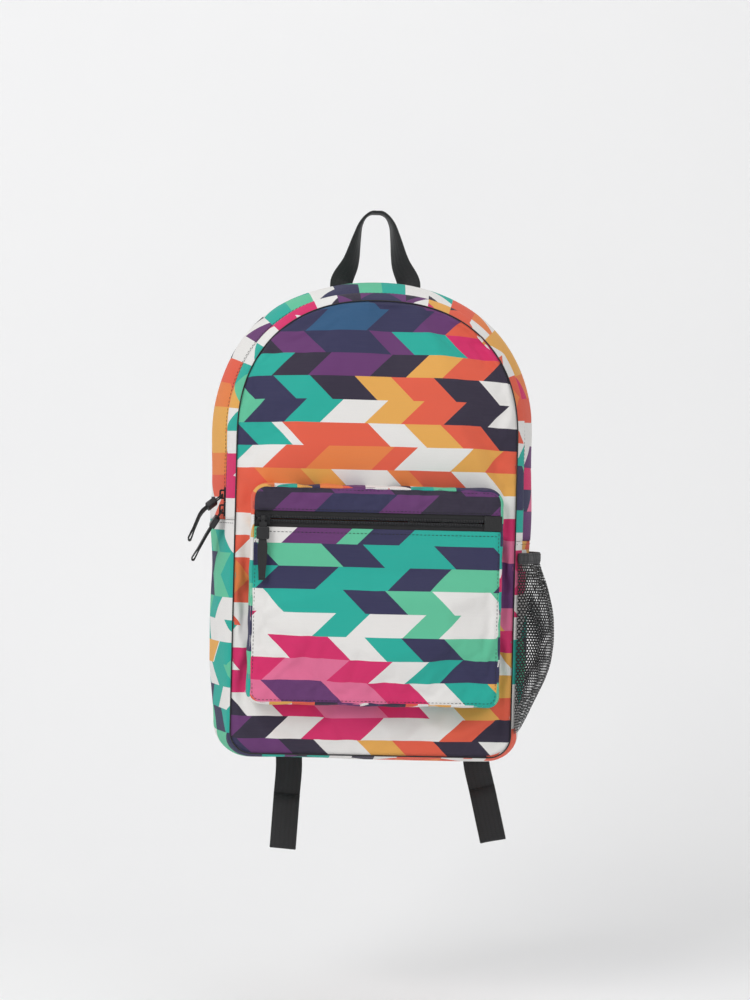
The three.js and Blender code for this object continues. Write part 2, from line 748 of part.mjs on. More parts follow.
// A main pull is turned to face left, yawed about the outward direction and tilted out.
function mainPullMatrix(at, yaw, tilt) {
  const radians = THREE.MathUtils.degToRad;
  return new THREE.Matrix4().makeTranslation(at.x, at.y, at.z)
    .multiply(new THREE.Matrix4().makeRotationX(radians(-yaw)))
    .multiply(new THREE.Matrix4().makeRotationZ(-Math.PI / 2))
    .multiply(new THREE.Matrix4().makeRotationX(radians(-tilt)));
}

function addMainSliders() {
  const out = point(-1, 0, 0);
  const faceX = -frontHalfWidth - stripFlare;
  const lowerZ = leftHem + lowerSliderRise;
  const upperZ = lowerZ + slidersApart;
  addSlider('main_slider_lower', point(0, 0, 1), out, point(faceX, zipY, lowerZ));
  addSlider('main_slider_upper', point(0, 0, -1), out, point(faceX, zipY, upperZ));
  const pivotX = faceX - (plateTop + eyeTop) / 2;
  const upper = point(pivotX, zipY, upperZ - pivotDrop);
  const lower = point(pivotX, zipY, lowerZ - pivotDrop);
  addPull('main_pull_upper', 'frame', upperPullBend, mainPullMatrix(upper, upperPullYaw, upperPullTilt));
  addPull('main_pull_lower', 'frame', lowerPullBend, mainPullMatrix(lower, lowerPullYaw, lowerPullTilt));
}

// The front pocket's outline, anticlockwise seen from the front, each place with its outward direction.
function pocketLine() {
  const top = frontTop - pocketTopDrop;
  const bottom = top - pocketHeight;
  const line = [];
  const arc = (cx, cz, radius, from) => {
    for (let i = 0; i <= 4; i++) {
      const angle = THREE.MathUtils.degToRad(from + (90 * i) / 4);
      const nx = Math.cos(angle);
      const nz = Math.sin(angle);
      line.push({ x: cx + radius * nx, z: cz + radius * nz, nx, nz });
    }
  };
  const w = pocketHalfWidth;
  arc(w - pocketTopCorner, top - pocketTopCorner, pocketTopCorner, 0);
  arc(-w + pocketTopCorner, top - pocketTopCorner, pocketTopCorner, 90);
  arc(-w + pocketBottomCorner, bottom + pocketBottomCorner, pocketBottomCorner, 180);
  arc(w - pocketBottomCorner, bottom + pocketBottomCorner, pocketBottomCorner, 270);
  return line;
}

function addPocket() {
  const face = -bodyDepth - pocketDepth;
  const top = frontTop - pocketTopDrop;
  const zipZ = top - pocketZipDrop;
  const w = pocketHalfWidth;
  const line = pocketLine();
  const panel = (places) => loft([
    places.map((p) => point(p.x, face, p.z)),
    places.map((p) => point(p.x, face + wall, p.z)),
  ], 'plate');
  const upperHem = zipZ + hemToHem / 2;
  const lowerHem = zipZ - hemToHem / 2;
  addPiece('pocket_top_panel', panel([{ x: w, z: upperHem }, ...line.slice(0, 10), { x: -w, z: upperHem }]),
    cloth);
  addPiece('pocket_front_panel', panel([{ x: -w, z: lowerHem }, ...line.slice(10), { x: w, z: lowerHem }]),
    cloth);
  addPiece('pocket_gusset', loft(line.map((p) => [
    offset(p, 0, face + wall + seat),
    offset(p, 0, -bodyDepth - seat),
    offset(p, -wall, -bodyDepth - seat),
    offset(p, -wall, face + wall + seat),
  ]), 'strip', true), plumCloth);

  const tapeHalf = w - wall - seat;
  const tapeNear = face - tapeOuter;
  const tape = (low, high) => block([-tapeHalf, tapeNear, low], [tapeHalf, tapeNear + tapeThickness, high]);
  addPiece('pocket_zip_upper_tape', tape(zipZ + postGap, upperHem + tapeSewn), blackTape);
  addPiece('pocket_zip_lower_tape', tape(lowerHem - tapeSewn, zipZ - postGap), blackTape);

  const patchStart = w - endPatchLength;
  const start = point(-tapeHalf + coilEndGap, face, zipZ);
  const end = point(patchStart - seat, face, zipZ);
  const places = evenPoints([start, end], pocketToothPitch / 2);
  const section = (place, across, height) => place.clone().add(point(0, -height, across));
  addPiece('pocket_zip_upper_coil', coilHalf(places, 1, section), blackPlastic);
  addPiece('pocket_zip_lower_coil', coilHalf(places, -1, section), blackPlastic);
  const patchY = tapeNear - seat;
  addPiece('pocket_zip_end_patch', block([patchStart, patchY - wall, lowerHem + seat],
    [w - 0.5, patchY, upperHem - seat]), blackTape);

  const sliderX = -w + pocketSliderInset;
  addSlider('pocket_slider', point(-1, 0, 0), point(0, -1, 0), point(sliderX, face, zipZ));
  const pivotY = face - (eyeTop + bridgeTop) / 2;
  addPull('pocket_pull', 'ring', 0, new THREE.Matrix4().makeTranslation(sliderX, pivotY, zipZ));
}

// A flat band along a route. Its width runs along the given direction, squared to the route.
function band(route, width, thickness, acrossAt) {
  const rings = route.map((spot, i) => {
    const next = route[Math.min(i + 1, route.length - 1)];
    const before = route[Math.max(i - 1, 0)];
    const tangent = next.clone().sub(before).normalize();
    const across = acrossAt(i, tangent);
    across.addScaledVector(tangent, -across.dot(tangent)).normalize();
    const out = tangent.clone().cross(across);
    return [[1, 1], [-1, 1], [-1, -1], [1, -1]].map(([a, b]) => spot.clone()
      .addScaledVector(across, (a * width) / 2)
      .addScaledVector(out, (b * thickness) / 2));
  });
  return loft(rings);
}

// Both legs stand on the top seam and turn edge-on as they rise.
function addHaulLoop() {
  const seamY = -haulThickness / 2 - seat;
  const seam = archAt(Math.acos(-((haulHalfSpread / frontHalfWidth) ** (archPower / 2))));
  const onSeam = stripOutset(seamY - haulThickness / 2) + 2 * seat;
  const foot = offset(seam, onSeam, seamY);
  const legZ = foot.z;
  const middle = haulThickness / 2;
  const left = [
    foot,
    offset(seam, onSeam + 7, seamY * 0.9),
    point(mix(-haulHalfSpread, -haulShoulder, 0.35), seamY * 0.6, mix(legZ, -haulShoulderDrop, 0.45)),
    point(mix(-haulHalfSpread, -haulShoulder, 0.8), seamY * 0.3, mix(legZ, -haulShoulderDrop, 0.85)),
    point(-haulShoulder + 0.8, 0, -haulShoulderDrop * 0.75),
    point(-haulShoulder * 0.66, 0, -haulShoulderDrop * 0.2),
    point(-haulShoulder * 0.33, 0, middle * 0.7),
    point(0, 0, middle),
  ];
  const mirrored = left.slice(0, -1).reverse().map((p) => point(-p.x, p.y, p.z));
  const curve = new THREE.CatmullRomCurve3([...left, ...mirrored]);
  const route = curve.getPoints(36);
  route[18].set(0, 0, middle);
  const twist = (z) => (Math.PI / 2) * along(z, legZ, -2) ** haulTwistPower;
  const haul = band(route, haulWidth, haulThickness, (i, tangent) => {
    const turn = twist(route[i].z);
    const flat = point(tangent.z, 0, -tangent.x);
    return flat.multiplyScalar(Math.cos(turn)).add(point(0, Math.sin(turn), 0));
  });
  addPiece('haul_loop', haul, blackWebbing);
}

// The ladder lock's own frame: its middle bar's centre, its lower end leaning outwards.
function lockMatrix(strap) {
  const lean = THREE.MathUtils.degToRad(-strap.side * strap.lean);
  return new THREE.Matrix4()
    .makeTranslation(strap.side * strap.lock, backRear + lockStandOff, -lockDrop)
    .multiply(new THREE.Matrix4().makeRotationY(lean));
}

// The padded strap's middle line hangs from the top of the back panel and bows away from it.
function strapCurve(strap) {
  const flatY = backRear + 2 * seat + strapThickness / 2;
  const sewn = (strapTopThickness - strapThickness) / 2;
  const endZ = -lockDrop + strapToLock;
  const topZ = frontTop - 2;
  const at = (x, rise, t) => point(strap.side * x, flatY + rise, mix(topZ, endZ, t));
  const reach = strap.lock - 2;
  const inLock = (y, z) => point(0, y, z).applyMatrix4(lockMatrix(strap));
  return new THREE.CatmullRomCurve3([
    at(strapTopOffset, sewn, 0),
    at(strapTopOffset, sewn, sewnShare / 2),
    at(strapTopOffset, sewn, sewnShare),
    at(mix(strapTopOffset, reach, 0.12), strapBow * 0.08, sewnShare + 0.08),
    at(mix(strapTopOffset, reach, 0.36), strapBow * 0.45, 0.25),
    at(mix(strapTopOffset, reach, 0.62), strapBow * 0.88, 0.38),
    at(mix(strapTopOffset, reach, 0.9), strapBow, 0.56),
    at(reach - 1, strapBow * 0.8, 0.74),
    inLock(2.2, strapToLock + 32),
    inLock(0, strapToLock),
  ]);
}

function strapThicknessAt(t) {
  const padded = mix(strapThickness, strapThickness - 2, smooth((t - 0.8) / 0.2));
  return mix(strapTopThickness, padded, smooth((t - sewnShare) / 0.08));
}

function strapGeometry(strap) {
  const curve = strapCurve(strap);
  const steps = 24;
  const corners = 12;
  const rings = curve.getSpacedPoints(steps).map((spot, i) => {
    const t = i / steps;
    const tangent = curve.getTangentAt(t);
    const across = point(-tangent.z, 0, tangent.x).normalize();
    const out = tangent.clone().cross(across);
    const width = mix(strapTopWidth, strapWidth, smooth((t - sewnShare) * 5));
    const half = mix(width, strapEndWidth, smooth((t - 0.78) / 0.2)) / 2;
    const thick = strapThicknessAt(t) / 2;
    return Array.from({ length: corners }, (_, k) => {
      const angle = (2 * Math.PI * (k + 0.5)) / corners;
      const c = Math.cos(angle);
      const s = Math.sin(angle);
      return spot.clone()
        .addScaledVector(across, half * Math.sign(c) * Math.abs(c) ** 0.5)
        .addScaledVector(out, thick * Math.sign(s) * Math.abs(s) ** 0.6);
    });
  });
  return loft(rings, 'plate');
}

// The ladder lock stands in the X-Z plane about the middle bar.
function ladderLockGeometry() {
  const top = lockBarPitch + lockBar / 2;
  const bottom = -lockBarPitch - lockBar / 2;
  const shape = roundedRectangle(lockHalfWidth, bottom, top, 3);
  const slot = (low, high) => new THREE.Path([
    new THREE.Vector2(-lockSlotHalfWidth, low),
    new THREE.Vector2(-lockSlotHalfWidth, high),
    new THREE.Vector2(lockSlotHalfWidth, high),
    new THREE.Vector2(lockSlotHalfWidth, low),
  ]);
  shape.holes.push(slot(lockBar / 2, lockBarPitch - lockBar / 2));
  shape.holes.push(slot(-lockBarPitch + lockBar / 2, -lockBar / 2));
  const frame = new THREE.ExtrudeGeometry(shape, {
    depth: lockBar - 2 * lockBevel,
    bevelEnabled: true,
    bevelThickness: lockBevel,
    bevelSize: lockBevel,
    bevelOffset: -lockBevel,
    bevelSegments: 1,
    curveSegments: 3,
  }).rotateX(Math.PI / 2).translate(0, lockBar / 2 - lockBevel, 0);
  const lever = new THREE.Shape([
    new THREE.Vector2(0.2, bottom + lockBar - 0.6),
    new THREE.Vector2(lockBar / 2 - 0.2, bottom + lockBar - 0.6),
    new THREE.Vector2(lockBar / 2 + 3.4, bottom - 5),
    new THREE.Vector2(lockBar / 2 + 2, bottom - 5.6),
    new THREE.Vector2(0.2, bottom + 0.4),
  ]);
  const half = lockHalfWidth - 3;
  const lip = new THREE.ExtrudeGeometry(lever, { depth: 2 * half, bevelEnabled: false });
  lip.applyMatrix4(new THREE.Matrix4().makeBasis(point(0, 1, 0), point(0, 0, 1), point(1, 0, 0)));
  return fromManifold(toManifold(frame).add(toManifold(lip.translate(-half, 0, 0))));
}

// An arc about the X axis, angles in degrees from +Y towards +Z.
function arcRoute(z, radius, from, to, steps) {
  return Array.from({ length: steps + 1 }, (_, i) => {
    const angle = THREE.MathUtils.degToRad(mix(from, to, i / steps));
    return point(0, radius * Math.cos(angle), z + radius * Math.sin(angle));
  });
}

function addStrap(name, strap) {
  const place = lockMatrix(strap);
  const inLock = (p) => p.clone().applyMatrix4(place);
  const lockAcross = point(1, 0, 0).transformDirection(place);
  // Webbing lies flat against the back, and crosses the lock squarely where it turns.
  const flatAcross = (i, tangent) => {
    if (Math.hypot(tangent.x, tangent.z) < 0.6) return lockAcross.clone();
    return point(tangent.z, 0, -tangent.x).multiplyScalar(Math.sign(tangent.z)).normalize();
  };
  addPiece(`${name}_shoulder_strap`, strapGeometry(strap), blackPadding);

  // The lock tab is folded round the top bar, and the strap's end lies between its two legs.
  const curve = strapCurve(strap);
  const leg = (side) => [0.95, 0.975, 1].map((t) => {
    const tangent = curve.getTangentAt(t);
    const out = point(-tangent.z, 0, tangent.x).cross(tangent).normalize();
    const away = strapThicknessAt(t) / 2 + seat + webbingThickness / 2;
    return curve.getPointAt(t).addScaledVector(out, side * away);
  });
  const turn = arcRoute(lockBarPitch, webbingTurn, 0, -180, 8).map(inLock);
  const outer = leg(1)[0].y > leg(-1)[0].y ? 1 : -1;
  const tab = [...leg(outer), ...turn, ...leg(-outer).reverse()];
  addPiece(`${name}_lock_tab`, band(tab, webbingWidth, webbingThickness, flatAcross), blackWebbing);
  addPiece(`${name}_ladder_lock`, ladderLockGeometry().applyMatrix4(place), blackPlastic);

  // The anchor tab is a triangle sewn into the bottom corner of the back seam.
  const corner = cornerAt(strap.side, 60);
  const seamAt = offset(corner, backOutset * corner.share - anchorInset, 0);
  const lockFoot = inLock(point(0, 0, -lockBarPitch));
  const foot = new THREE.Vector2(seamAt.x, seamAt.z);
  const aim = new THREE.Vector2(lockFoot.x, lockFoot.z).sub(foot).normalize();
  const square = new THREE.Vector2(-aim.y, aim.x);
  const spot = (run, half) => foot.clone().addScaledVector(aim, run).addScaledVector(square, half);
  const anchor = new THREE.Shape([
    spot(0, -anchorBaseWidth / 2),
    spot(0, anchorBaseWidth / 2),
    spot(anchorLength, webbingWidth / 2 + 1),
    spot(anchorLength, -webbingWidth / 2 - 1),
  ]);
  const anchorY = backRear + seat;
  addPiece(`${name}_anchor_tab`, extrudeAlongY(anchor, anchorY, anchorY + anchorThickness), blackWebbing);

  // The webbing climbs from the anchor, turns over the middle bar and hangs as a tail.
  const webY = anchorY + anchorThickness + seat + webbingThickness / 2;
  const layerStep = webbingThickness + seat;
  const tailIn = -lockBar / 2 - seat - webbingThickness / 2;
  const start = spot(14, 0);
  const onTab = spot(anchorLength - 2, 0);
  const lockIn = inLock(point(0, tailIn - layerStep - 0.2, -lockBarPitch));
  const lockOut = inLock(point(0, tailIn, -lockBarPitch - 3));
  const tailY = lockOut.y;
  const tailTop = point(strap.side * strap.tailTop, tailY, mix(lockOut.z, -strap.tailDrop, 0.5));
  const tailEnd = point(strap.side * strap.tailEnd, tailY, -strap.tailDrop);
  const back = tailTop.clone().sub(tailEnd).normalize();
  const foldTop = tailEnd.clone().addScaledVector(back, foldLength);
  const toFront = point(0, -layerStep, 0);
  const webbing = [
    point(start.x, webY, start.y),
    point(onTab.x, webY, onTab.y),
    point(mix(onTab.x, lockIn.x, 0.5), mix(webY, lockIn.y, 0.5), mix(onTab.y, lockIn.z, 0.5)),
    lockIn,
    inLock(point(0, -webbingTurn - 0.5, -4.4)),
    ...arcRoute(0, webbingTurn, 180, 0, 8).map(inLock),
    inLock(point(0, 2.3, -3.4)),
    inLock(point(0, -0.4, -lockBarPitch / 2 - 0.8)),
    inLock(point(0, tailIn + 0.1, -lockBarPitch + 2.4)),
    lockOut,
    point(mix(lockOut.x, tailTop.x, 0.35), tailY, mix(lockOut.z, tailTop.z, 0.3)),
    point(mix(lockOut.x, tailTop.x, 0.75), tailY, mix(lockOut.z, tailTop.z, 0.65)),
    tailTop,
    foldTop,
    tailEnd,
    tailEnd.clone().addScaledVector(toFront, 0.5).addScaledVector(back, -layerStep / 2),
    tailEnd.clone().add(toFront),
    foldTop.clone().add(toFront),
  ];
  addPiece(`${name}_webbing`, band(webbing, webbingWidth, webbingThickness, flatAcross), blackWebbing);
}

// One webbing is sewn over both strap ends and down to the back panel beside them.
function addStrapBand() {
  const low = backRear + seat + webbingThickness / 2;
  const high = low + strapTopThickness + 3 * seat;
  const inner = strapTopOffset - strapTopWidth / 2;
  const outer = strapTopOffset + strapTopWidth / 2;
  const z = frontTop - 2 - strapBandWidth / 2;
  const half = [
    [inner - strapBandSlope + 2, low],
    [inner + 2, high],
    [outer - 2, high],
    [outer + strapBandSlope - 2, low],
    [outer + strapBandSlope + 4, low],
  ];
  const route = [
    ...[...half].reverse().map(([x, y]) => point(-x, y, z)),
    ...half.map(([x, y]) => point(x, y, z)),
  ];
  const down = () => point(0, 0, 1);
  addPiece('strap_end_band', band(route, strapBandWidth, webbingThickness, down), blackWebbing);
}

// The side pocket: a net bellied off the lower gusset, held in by an elastic binding.
function addSidePocket() {
  const near = frontInner + 3;
  const far = -2;
  const steps = 8;
  const top = rightHem - meshTopBelowHem;
  const bindingBottom = top - meshBindingHeight;
  const meshTop = bindingBottom - seat;
  const meshBottom = cornerStart + meshFloorRise;
  const depths = depthSteps(near, far, steps);
  const gap = (t, z) => {
    const u = along(z, meshBottom, meshTop);
    const open = meshMouth * smooth(u * 1.4) + meshBelly * Math.sin(Math.PI * u) ** 0.9;
    return open * Math.sin(Math.PI * t) ** 0.8;
  };
  const ring = (z, thickness) => {
    const place = sideAt(1, z);
    const inner = (y, i) => bodyOutset(place, y) + 2 * seat + gap(i / steps, z);
    return [
      ...depths.map((y, i) => offset(place, inner(y, i) + thickness, y)),
      ...depths.map((y, i) => offset(place, inner(y, i), y)).reverse(),
    ];
  };
  const heights = depthSteps(meshTop, meshBottom, 14);
  addPiece('side_mesh_pocket', loft(heights.map((z) => ring(z, meshThickness))), blackMesh);
  const bindingHeights = [top, (top + bindingBottom) / 2, bindingBottom];
  const binding = loft(bindingHeights.map((z) => ring(z, meshBindingThickness)));
  addPiece('mesh_pocket_binding', binding, greyElastic);
}

addBody();
addSleeve();
addMainZip();
addMainSliders();
addPocket();
addHaulLoop();
addStrap('left', leftStrap);
addStrap('right', rightStrap);
addStrapBand();
addSidePocket();

export default model;
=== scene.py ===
"""Looks for a hanging printed daypack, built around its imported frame.

Metres throughout. The origin is the underside of the haul loop's top, X runs to the
viewer's right, the front faces -Y and Z is up.
"""

import logging
from dataclasses import dataclass
from enum import Enum
from functools import cache
from itertools import accumulate
from math import acos, atan2, copysign, cos, exp, hypot, pi, radians, sin, sqrt
from typing import Callable, Sequence

import bmesh
import bpy
from mathutils import Matrix, Vector, noise

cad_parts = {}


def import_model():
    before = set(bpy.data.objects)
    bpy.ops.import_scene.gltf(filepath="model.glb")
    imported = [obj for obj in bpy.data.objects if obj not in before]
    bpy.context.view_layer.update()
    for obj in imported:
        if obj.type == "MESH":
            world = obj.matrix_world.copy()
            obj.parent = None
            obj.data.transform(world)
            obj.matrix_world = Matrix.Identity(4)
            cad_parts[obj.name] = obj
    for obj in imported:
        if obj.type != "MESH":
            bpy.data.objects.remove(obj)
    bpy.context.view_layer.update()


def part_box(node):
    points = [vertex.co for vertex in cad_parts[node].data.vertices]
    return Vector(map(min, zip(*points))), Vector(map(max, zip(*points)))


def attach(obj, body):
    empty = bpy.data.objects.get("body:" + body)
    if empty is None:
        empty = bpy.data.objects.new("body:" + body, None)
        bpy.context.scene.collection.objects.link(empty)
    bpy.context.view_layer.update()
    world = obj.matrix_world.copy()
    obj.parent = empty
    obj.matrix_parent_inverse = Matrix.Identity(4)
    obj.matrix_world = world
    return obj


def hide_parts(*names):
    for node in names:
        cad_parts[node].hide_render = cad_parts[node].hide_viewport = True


log = logging.getLogger("daypack")

Socket = bpy.types.NodeSocket
Node = bpy.types.Node
Tree = bpy.types.NodeTree
Pair = tuple[float, float]
Route = Sequence[tuple[Vector, Vector]]
Value = Socket | float
CLOTH_UV = "cloth"
FRONT = Vector((0, -1, 0))
REAR = Vector((0, 1, 0))
UP = Vector((0, 0, 1))
MERGED = 1e-6  # metres between corners that become one
CLOTH_WALL = 0.0012
THREAD_LIFT = 0.0002


# Small helpers


def mix(first: float, second: float, amount: float) -> float:
    """Blends two numbers."""
    return first + (second - first) * amount


def smooth(amount: float) -> float:
    """Eases a number from 0 to 1, clamped at both ends."""
    eased = min(1.0, max(0.0, amount))
    return eased * eased * (3.0 - 2.0 * eased)


def along(value: float, start: float, end: float) -> float:
    """Tells how far a value lies from start to end, clamped from 0 to 1."""
    return min(1.0, max(0.0, (value - start) / (end - start)))


def ripple(x: float, y: float, z: float = 0.0) -> float:
    """Gives smooth noise from -1 to 1, the same on every run."""
    return noise.noise(Vector((x, y, z)))


def linear(code: str) -> tuple[float, float, float, float]:
    """Turns a screen colour into a linear one.

    Args:
        code: The colour as it looks on screen, in hex.

    Returns:
        Red, green, blue and a full alpha.
    """
    parts = [int(code[i : i + 2], 16) / 255 for i in (1, 3, 5)]
    shown = [p / 12.92 if p <= 0.04045 else ((p + 0.055) / 1.055) ** 2.4 for p in parts]
    return shown[0], shown[1], shown[2], 1.0


def catmull_rom(points: Sequence[Vector], per_span: int) -> list[Vector]:
    """Draws a centripetal curve through points.

    Args:
        points: The places that the curve passes through.
        per_span: Steps between two of them.

    Returns:
        The curve's points, both ends included.
    """
    ends = [points[0] * 2 - points[1], *points, points[-1] * 2 - points[-2]]
    curve = []
    for i in range(1, len(ends) - 2):
        p0, p1, p2, p3 = ends[i - 1 : i + 3]
        t1 = max(1e-6, (p1 - p0).length ** 0.5)
        t2 = t1 + max(1e-6, (p2 - p1).length ** 0.5)
        t3 = t2 + max(1e-6, (p3 - p2).length ** 0.5)
        for step in range(per_span):
            t = mix(t1, t2, step / per_span)
            a1 = p0 * ((t1 - t) / t1) + p1 * (t / t1)
            a2 = p1 * ((t2 - t) / (t2 - t1)) + p2 * ((t - t1) / (t2 - t1))
            a3 = p2 * ((t3 - t) / (t3 - t2)) + p3 * ((t - t2) / (t3 - t2))
            b1 = a1 * ((t2 - t) / t2) + a2 * (t / t2)
            b2 = a2 * ((t3 - t) / (t3 - t1)) + a3 * ((t - t1) / (t3 - t1))
            curve.append(b1 * ((t2 - t) / (t2 - t1)) + b2 * ((t - t1) / (t2 - t1)))
    curve.append(points[-1].copy())
    return curve


def pairs(line: Sequence) -> zip:
    """Pairs each entry of a line with the next one."""
    return zip(line, line[1:])


def lengths_along(spans: Sequence[float]) -> list[float]:
    """Adds up spans, from 0 to the whole length."""
    return [0.0, *accumulate(spans)]


def ring(middle: Vector, across: Vector, up: Vector, radius: float, corners: int) -> list[Vector]:
    """Draws a circle.

    Args:
        middle: Its middle.
        across: The direction to its first corner.
        up: The direction to the corner a quarter further on.
        radius: Its radius.
        corners: How many corners it has.

    Returns:
        The corners in turn.
    """
    angles = [2 * pi * k / corners for k in range(corners)]
    return [
        middle + across * (radius * cos(a)) + up * (radius * sin(a)) for a in angles
    ]


def nearest_out(route: Route, spot: Vector) -> Vector:
    """Finds which way is out at the point of a route that is nearest to a spot."""
    return min(route, key=lambda entry: (entry[0] - spot).length_squared)[1].normalized()


def set_at(middle: Vector, axes: Sequence[Vector], size: Sequence[float]) -> Matrix:
    """Gives the matrix that places a unit shape by its middle, its axes and its sizes."""
    turn = Matrix(axes).transposed().to_4x4()
    return Matrix.Translation(middle) @ turn @ Matrix.Diagonal((*size, 1.0))


def even_steps(points: Sequence[Vector], step: float) -> list[Vector]:
    """Walks a line in equal steps.

    Args:
        points: The line.
        step: The wanted distance between two results.

    Returns:
        Points on the line, the first and last of it included.
    """
    lengths = lengths_along([(after - before).length for before, after in pairs(points)])
    count = max(2, round(lengths[-1] / step))
    walked, k = [], 1
    for i in range(count + 1):
        wanted = lengths[-1] * i / count
        while k < len(points) - 1 and lengths[k] < wanted:
            k += 1
        span = max(1e-9, lengths[k] - lengths[k - 1])
        walked.append(points[k - 1].lerp(points[k], (wanted - lengths[k - 1]) / span))
    return walked


# Meshes


def linked(name: str, data: object) -> bpy.types.Object:
    """Puts a new object in the scene.

    Args:
        name: Its name.
        data: Its mesh, light or camera.

    Returns:
        The object.
    """
    made = bpy.data.objects.new(name, data)
    bpy.context.scene.collection.objects.link(made)
    return made


@dataclass(frozen=True)
class Settling:
    """A cloth simulation that lets a sheet find its own folds between its seams."""

    growth: float = 0.035
    pressure: float = 0.5
    reach: float = 0.009
    mass: float = 0.2
    stretching: float = 30.0
    shearing: float = 15.0
    bending: float = 0.05
    damping: float = 2.0
    quality: int = 6
    frames: int = 20
    sewn_rows: int = 1
    free: Callable[[Vector], float] | None = None

    def run(self, piece: bpy.types.Object) -> None:
        """Simulates the sheet with its edges pinned, and applies the result.

        Args:
            piece: The open sheet, before it gets a wall.
        """
        mesh, scene = piece.data, bpy.context.scene
        edges = bmesh.new()
        edges.from_mesh(mesh)
        sewn = {v for v in edges.verts if v.is_boundary}
        for _ in range(self.sewn_rows):
            sewn |= {e.other_vert(v) for v in sewn for e in v.link_edges}
        seams = [v.index for v in sewn]
        edges.free()
        pins = piece.vertex_groups.new(name="seams")
        pins.add(seams, 1.0, "REPLACE")
        cloth = piece.modifiers.new("cloth", "CLOTH")
        settings = cloth.settings
        settings.quality = self.quality
        settings.mass = self.mass
        settings.tension_stiffness = self.stretching
        settings.compression_stiffness = self.stretching
        settings.shear_stiffness = self.shearing
        settings.bending_stiffness = self.bending
        settings.air_damping = self.damping
        settings.vertex_group_mass = "seams"
        settings.shrink_min = -self.growth
        settings.use_pressure = True
        settings.uniform_pressure_force = self.pressure
        settings.effector_weights.gravity = 0.0
        cloth.point_cache.frame_start, cloth.point_cache.frame_end = 1, self.frames
        for frame in range(1, self.frames + 1):
            scene.frame_set(frame)
        depsgraph = bpy.context.evaluated_depsgraph_get()
        settled = [v.co.copy() for v in piece.evaluated_get(depsgraph).data.vertices]
        farthest = 0.0
        for vert, spot in zip(mesh.vertices, settled):
            moved = (spot - vert.co) * (self.free(vert.co) if self.free else 1.0)
            farthest = max(farthest, moved.length)
            if moved.length > self.reach:
                moved *= self.reach / moved.length
            vert.co += moved
        piece.modifiers.remove(cloth)
        piece.vertex_groups.remove(pins)
        scene.frame_set(1)
        log.info("settled %s by up to %.1f mm", piece.name, farthest * 1000)


